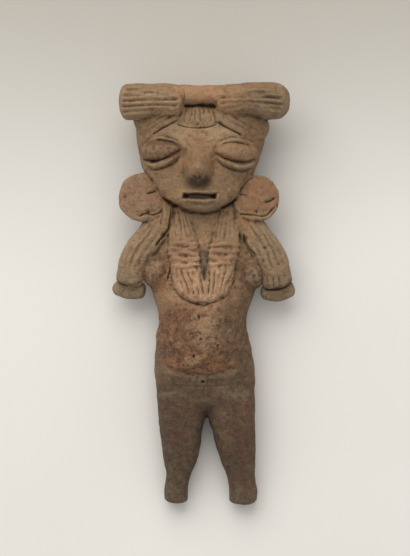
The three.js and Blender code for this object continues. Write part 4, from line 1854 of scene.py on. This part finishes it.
@dataclass(frozen=True)
class Terracotta:
    """Low-fired clay: tan to red-brown, smoked over the legs, with earth in its grooves, painted shade
    in its grooves and hollows and a painted highlight on its high spots.

    Grains darken by one strength on plain clay, and by two more where it is rough and where it is
    smoked. Where a strength has two parts, the second one is added on rough or on smoked clay.
    """

    tan: Colour = srgb(159, 128, 94)
    warm: Colour = srgb(169, 124, 84)
    grey: Colour = srgb(131, 110, 81)
    # umber also paints shade into the cuts and hollows
    umber: Colour = srgb(52, 38, 27)
    # pale earth: the pale grains, and the high spots that also carry a painted highlight
    earth: Colour = srgb(172, 150, 118)
    olive: Colour = srgb(103, 91, 69)
    russet: Colour = srgb(102, 66, 50)
    rust: Colour = srgb(72, 48, 33)
    moss: Colour = srgb(104, 92, 66)
    clouds: Mottle = Mottle(14.0, Fade(0.4, 0.62, 0.6))
    veil: Mottle = Mottle(6.0, Fade(0.48, 0.66, 0.6), detail=4.0)
    ruddy: Mottle = Mottle(5.0, Fade(0.48, 0.6, 0.6), detail=5.0, roughness=0.7)
    mossy: Mottle = Mottle(6.5, Fade(0.5, 0.62, 0.4), detail=5.0, roughness=0.7)
    stains: Mottle = Mottle(3.4, Fade(0.46, 0.64, 0.3), detail=5.0, roughness=0.75)
    dark_grains: Mottle = Mottle(1.4, Fade(0.47, 0.63), detail=5.0, roughness=0.8)
    pale_grains: Mottle = Mottle(1.3, Fade(0.52, 0.7), detail=5.0, roughness=0.8)
    dust: Mottle = Mottle(2.0, Fade(0.3, 0.6))
    # the rubbing patches and their strengths: worn high spots that also carry a painted highlight
    rubbing_and_sheen: Mottle = Mottle(1.6, Fade(0.3, 0.58))
    dusty: Fade = Fade(0.02, 0.16, 0.5)
    # cut and sunk: painted shade with some earth, darker the deeper a place lies
    cut: Fade = Fade(0.06, 0.36, 0.75)
    sunk_dirt_and_shade: Fade = Fade(0.3, 2.4, 0.5)
    proud: Fade = Fade(0.03, 0.22)
    darkening: tuple[float, float, float] = (0.55, 0.7, 0.25)
    dark_strengths: tuple[float, float] = (0.68, 0.3)
    pale_strengths: tuple[float, float] = (0.16, 0.44)
    pale_smoked: float = 0.35
    worn_and_lit_strengths: tuple[float, float] = (0.42, -0.24)
    ragged_size: float = 2.6
    ragged_range: tuple[float, float] = (0.6, 0.8)
    roughness: float = 0.66
    rough_patches: Sequence[tuple[float, float]] = ((4.0, 0.2), (0.6, 0.08))
    polish: float = 0.14
    polished_from: float = 0.2
    specular: float = 0.35
    relief_depth: float = 0.0011
    relief_coarse: float = 0.7
    smoked: tuple[Place, Place] = ((0.5, 17), (24, 24))
    smoke_edge: float = 0.15
    zones: Sequence[Zone] = (
        Zone((0, 86), (8, 8), srgb(138, 114, 87), 0.5),
        Zone((-23, 64), (7, 6), srgb(130, 113, 91), 0.7),
        Zone((22, 64), (7, 6), srgb(104, 87, 68), 0.7),
        Zone((18, 112), (9, 14), srgb(118, 96, 72), 0.5),
        Zone((-1.5, 121.6), (8, 3.2), srgb(184, 138, 101), 0.85, 0.4),
        Zone((-3, 110), (12, 7), srgb(192, 160, 124), 0.75),
        Zone((-17, 119.5), (9, 5), srgb(166, 136, 104), 0.5),
        Zone((-12, 97), (5, 5), srgb(146, 116, 88), 0.5),
        Zone((9, 97), (5, 5), srgb(130, 103, 76), 0.7),
        Zone((-13, 105), (6.5, 3.4), srgb(117, 80, 52), 0.95, 0.35),
        Zone((9.5, 104.5), (7, 3.2), srgb(150, 108, 76), 0.8, 0.4),
        Zone((-1.8, 102), (4.6, 8), srgb(152, 113, 80), 0.7),
        # painted shade under the nose's tip
        Zone((-1.7, 95.6), (3.6, 2.2), srgb(60, 43, 29), 0.9, 0.4),
        Zone((0.5, 81), (3, 7), srgb(170, 138, 104), 0.6, 0.5),
        # painted shade inside the mouth's slot
        Zone((-1.4, 91.3), (4.8, 0.8), srgb(66, 46, 33), 0.85, 0.25),
        Zone((18.4, 92), (7.2, 7), srgb(156, 110, 78), 0.65, 0.4),
        Zone((-21, 92), (6.5, 7.5), srgb(158, 120, 94), 0.6, 0.4),
        Zone((-14, 69), (5.8, 5.8), srgb(138, 92, 62), 0.92, 0.35),
        Zone((13.8, 68), (4.5, 5.5), srgb(128, 92, 67), 0.7, 0.4),
        Zone((10, 64), (8, 8), srgb(114, 82, 58), 0.75),
        Zone((-0.5, 66), (9.5, 11), srgb(216, 170, 131), 0.75, 0.4),
        Zone((-6.8, 83), (3.4, 5), srgb(176, 142, 108), 0.7),
        Zone((6.4, 83), (3.4, 5), srgb(168, 135, 103), 0.7),
        Zone((-6.0, 74.4), (5, 3.4), srgb(168, 122, 92), 0.55, 0.4),
        Zone((5.8, 74.6), (4.6, 3.2), srgb(162, 118, 88), 0.55, 0.4),
        Zone((0.0, 71.5), (1.5, 5.0), srgb(116, 104, 80), 0.8, 0.4),
        Zone((-20, 76), (7, 10), srgb(168, 140, 110), 0.6, 0.4),
        Zone((20, 76), (7, 10), srgb(164, 138, 108), 0.6, 0.4),
        Zone((-6, 51), (9, 9), srgb(122, 79, 53), 0.85, 0.5),
        Zone((0, 52), (4.2, 6), srgb(166, 132, 100), 0.7, 0.5),
        Zone((8, 57), (5, 5), srgb(124, 94, 67), 0.6),
        Zone((9, 48), (6, 10), srgb(102, 75, 52), 0.8),
        Zone((-13.4, 41), (3.4, 6), srgb(98, 78, 60), 0.7, 0.4),
        Zone((13.0, 40.5), (3.4, 7), srgb(100, 80, 60), 0.7, 0.4),
        Zone(*smoked, srgb(93, 74, 57), 0.96, smoke_edge),
        Zone((-2.2, 41.4), (10, 3.1), srgb(152, 103, 69), 0.8, 0.4),
        Zone((-3.2, 42.4), (2.6, 1.8), srgb(178, 138, 102), 0.75, 0.3),
        Zone((-12.2, 40.6), (2.6, 0.9), srgb(124, 110, 82), 0.55, 0.6),
        Zone((-8.2, 38.5), (3.0, 0.9), srgb(124, 110, 82), 0.6, 0.6),
        Zone((-3.0, 37.5), (3.4, 0.8), srgb(124, 108, 80), 0.6, 0.6),
        Zone((3.2, 38.1), (3.4, 0.8), srgb(120, 104, 78), 0.6, 0.6),
        Zone((8.6, 39.9), (3.0, 0.9), srgb(118, 102, 76), 0.55, 0.6),
        Zone((0.5, 12), (20, 12), srgb(86, 70, 52), 0.7, 0.6),
        Zone((13.5, 22), (3, 14), srgb(112, 78, 56), 0.5),
        Zone((10, 27), (4, 6), srgb(98, 72, 54), 0.5),
        Zone((-9.5, 22.2), (2.6, 4), srgb(70, 50, 39), 0.7, 0.6),
        Zone((-11, 29.5), (3.4, 2.6), srgb(78, 57, 43), 0.6, 0.6),
        Zone((6.2, 19.9), (1.8, 3.6), srgb(116, 91, 54), 0.55, 0.6),
        Zone((12, 28.7), (1.8, 2.4), srgb(128, 76, 52), 0.65, 0.6),
        Zone((11.7, 17), (3, 5), srgb(94, 61, 46), 0.6, 0.6),
        Zone((-8, 24), (4, 6), srgb(98, 72, 56), 0.5),
        Zone((9, 33.7), (5, 2.4), srgb(122, 106, 76), 0.6, 0.5),
        Zone((-8, 2), (6, 5), srgb(88, 82, 67), 0.8),
        Zone((12, 2), (6, 6), srgb(104, 85, 67), 0.75),
    )
    grain_zones: Sequence[tuple[Place, Place]] = (
        ((-1, 49), (14, 12)),
        ((-14, 69), (6, 6)),
        ((12, 67), (7, 7)),
    )
    grain_edge: float = 0.4

    def dress(self, piece: bpy.types.Object, start: Place) -> None:
        """Gives the figure its finish.

        Args:
            piece: The clay figure.
            start: Where the maker's measure starts along X and Y, in metres.
        """
        material = bpy.data.materials.new("terracotta")
        tree = ClayTree(material, start)
        groove, hollow = (tree.depth(kind) for kind in Depth)
        smoked = tree.ball(*self.smoked, self.smoke_edge)
        coarse = sum((tree.ball(*area, self.grain_edge) for area in self.grain_zones), 0.0).clamped()
        colour = self.ground(tree)
        colour = self.tone(tree, colour)
        colour = self.smoke(tree, colour, smoked)
        colour = self.speckle(tree, colour, coarse, smoked)
        colour = self.earth_shade_and_sheen(tree, colour, groove, hollow, smoked)
        rough = sum((share * tree.noise(size) for size, share in self.rough_patches), self.roughness)
        polish = (groove * (-1 / self.polished_from)).clamped() * self.polish
        tree.finish(
            {
                "Base Color": colour,
                "Roughness": rough - polish,
                "Normal": self.relief(tree),
                "Specular IOR Level": self.specular,
            }
        )
        piece.data.materials.clear()
        piece.data.materials.append(material)

    def ground(self, tree: ClayTree) -> Wire:
        """Mottles the clay body.

        Args:
            tree: The material's nodes.

        Returns:
            The colour.
        """
        colour = tree.mixed(self.tan, self.warm, self.clouds.share(tree))
        return tree.mixed(colour, self.grey, self.veil.share(tree))

    def tone(self, tree: ClayTree, colour: Wire) -> Wire:
        """Lays each zone's own tone, with ragged edges.

        Args:
            tree: The material's nodes.
            colour: The colour so far.

        Returns:
            The new colour.
        """
        least, more = self.ragged_range
        ragged = least + more * tree.noise(self.ragged_size)
        for zone in self.zones:
            share = (tree.ball(zone.centre, zone.radii, zone.soft) * ragged).clamped()
            colour = tree.mixed(colour, zone.colour, share * zone.strength)
        return colour

    def smoke(self, tree: ClayTree, colour: Wire, smoked: Wire) -> Wire:
        """Blotches the legs where the kiln's smoke caught them.

        Args:
            tree: The material's nodes.
            colour: The colour so far.
            smoked: Where the smoke reached, from 0 to 1.

        Returns:
            The new colour.
        """
        colour = tree.mixed(colour, self.russet, self.ruddy.share(tree) * smoked)
        return tree.mixed(colour, self.moss, self.mossy.share(tree) * smoked)

    def speckle(self, tree: ClayTree, colour: Wire, coarse: Wire, smoked: Wire) -> Wire:
        """Breaks the colour up with stains and fine dark and light grains.

        Args:
            tree: The material's nodes.
            colour: The colour so far.
            coarse: Where the surface is rough, from 0 to 1: it has more grains of both kinds.
            smoked: Where the smoke reached, which darkens the dark grains and dims the light ones.

        Returns:
            The new colour.
        """
        plain, rough, smoky = self.darkening
        strength = plain + rough * coarse + smoky * smoked
        colour = tree.mixed(colour, self.umber, self.stains.share(tree) * strength)
        dark, dark_smoked = self.dark_strengths
        grains = self.dark_grains.share(tree)
        colour = tree.mixed(colour, self.rust, grains * strength * dark)
        colour = tree.mixed(colour, self.umber, grains * smoked * dark_smoked)
        pale, pale_coarse = self.pale_strengths
        strength = (pale + pale_coarse * coarse) * (1.0 - self.pale_smoked * smoked)
        return tree.mixed(colour, self.earth, self.pale_grains.share(tree) * strength)

    def earth_shade_and_sheen(self, tree: ClayTree, colour: Wire, groove: Wire, hollow: Wire, smoked: Wire) -> Wire:
        """Lays earth in the grooves, darkens the cuts and hollows with earth and painted shade, and
        lightens the high spots with wear and a painted highlight.

        Args:
            tree: The material's nodes.
            colour: The colour so far.
            groove: How deep the place lies in fine marks, in millimetres.
            hollow: How deep it lies in larger forms, in millimetres.
            smoked: Where the smoke reached, which the high spots show less.

        Returns:
            The new colour.
        """
        colour = tree.mixed(colour, self.olive, self.dusty.share(groove) * self.dust.share(tree))
        # painted shade with some earth, in the fine cuts and in the larger hollows
        colour = tree.mixed(colour, self.umber, self.cut.share(groove))
        colour = tree.mixed(colour, self.umber, self.sunk_dirt_and_shade.share(hollow))
        # high spots lighter: partly wear, partly a painted highlight where the ridges catch the light
        worn_and_lit = self.proud.share(groove * -1.0) * self.rubbing_and_sheen.share(tree)
        strength, smoky = self.worn_and_lit_strengths
        return tree.mixed(colour, self.earth, worn_and_lit * (strength + smoky * smoked))

    def relief(self, tree: ClayTree) -> Wire:
        """Bends the light over the grain that is too fine for the mesh.

        Args:
            tree: The material's nodes.

        Returns:
            The bent normal.
        """
        fine = tree.noise(size=0.6, detail=4.0, roughness=0.7)
        grain = fine + self.relief_coarse * tree.noise(size=1.8)
        sockets = {"Strength": 1.0, "Distance": self.relief_depth, "Height": grain}
        return tree.node("ShaderNodeBump", {}, sockets, "Normal")


# The table and the camera


@dataclass
class Studio:
    """A pale table under soft daylight, seen from straight above."""

    pixel: float = 0.297
    picture: tuple[int, int] = (410, 556)
    heel_row: float = 504.0
    middle_column: float = 204.5
    distance: float = 1.2
    focus: float = 0.012
    sensor: float = 36.0
    clip_end: float = 10.0
    table: Colour = srgb(221, 219, 214)
    table_far: Colour = srgb(168, 163, 154)
    table_half: float = 1.5
    table_shade: Fade = Fade(0.0, 0.11)
    table_clouds: float = 70.0
    table_cloudiness: float = 0.2
    daylight: float = 0.71
    daylight_colour: Colour = (1.0, 0.99, 0.97, 1.0)
    window_colour: Point = (1.0, 0.985, 0.96)
    window_size: tuple[float, float] = (1.3, 0.9)
    window_power: float = 11.1
    window_place: Point = (-0.25, 0.75, 0.75)

    def build(self, start: Place) -> None:
        """Sets up the table, the light and the camera.

        Args:
            start: Where the figure's middle line is along X and its heels along Y, in metres.
        """
        self.lay_table()
        self.light()
        self.look(start)

    def lay_table(self) -> None:
        """Lays the table top, which is darker beyond the head."""
        mesh = bpy.data.meshes.new("table")
        plane = bmesh.new()
        bmesh.ops.create_grid(plane, x_segments=1, y_segments=1, size=self.table_half)
        plane.to_mesh(mesh)
        plane.free()
        table = bpy.data.objects.new("table", mesh)
        bpy.context.scene.collection.objects.link(table)
        material = bpy.data.materials.new("table_top")
        tree = ShaderTree(material)
        along = tree.node("ShaderNodeSeparateXYZ", {}, {0: tree.place}, "Y")
        colour = tree.mixed(self.table, self.table_far, self.table_shade.share(along))
        clouds = tree.noise(self.table_clouds, detail=1.0) * self.table_cloudiness
        colour = tree.mixed(colour, self.table_far, clouds)
        tree.finish({"Base Color": colour, "Roughness": 0.9, "Specular IOR Level": 0.2})
        mesh.materials.append(material)
        table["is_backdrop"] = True

    def light(self) -> None:
        """Lets soft window light in from above the head, a little to the left."""
        scene = bpy.context.scene
        world = bpy.data.worlds.new("daylight")
        scene.world = world
        world.use_nodes = True
        background = world.node_tree.nodes["Background"]
        background.inputs["Color"].default_value = self.daylight_colour
        background.inputs["Strength"].default_value = self.daylight
        lamp = bpy.data.lights.new("window", "AREA")
        lamp.shape = "RECTANGLE"
        lamp.size, lamp.size_y = self.window_size
        lamp.energy = self.window_power
        lamp.color = self.window_colour
        holder = bpy.data.objects.new("window", lamp)
        scene.collection.objects.link(holder)
        holder.location = self.window_place
        holder.rotation_euler = (-Vector(self.window_place)).to_track_quat("-Z", "Y").to_euler()

    def look(self, start: Place) -> None:
        """Hangs the camera straight above.

        Args:
            start: Where the figure's middle line is along X and its heels along Y, in metres.
        """
        middle, heels = start
        width, height = self.picture
        pixel = self.pixel * MILLIMETRE
        camera = bpy.data.cameras.new("camera")
        camera.sensor_width = self.sensor
        camera.lens = self.sensor * self.distance / (height * pixel)
        camera.clip_end = self.clip_end
        holder = bpy.data.objects.new("camera", camera)
        bpy.context.scene.collection.objects.link(holder)
        holder.location = (
            middle + (width / 2 - self.middle_column) * pixel,
            heels + (self.heel_row - height / 2) * pixel,
            self.distance + self.focus,
        )
        bpy.context.scene.camera = holder
        bpy.context.scene.view_settings.view_transform = "Standard"


def main() -> None:
    """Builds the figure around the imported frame."""
    logging.basicConfig(level=logging.INFO, format="%(name)s: %(message)s")
    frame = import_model()
    LOG.info("frame with %s", ", ".join(sorted(frame["nodes"])))
    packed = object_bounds()
    low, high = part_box(NODE)
    middle, heels = ((low[axis] + high[axis]) / 2 - MIDDLE[axis] * MILLIMETRE for axis in (0, 1))
    piece = Figurine().build()
    Terracotta().dress(piece, (middle, heels))
    Studio().build((middle, heels))
    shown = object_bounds()
    for name, corners in (("packed", packed), ("shown", shown)):
        LOG.info("%s box %s", name, [[round(1000 * c, 2) for c in v] for v in corners])


if __name__ == "__main__":
    main()
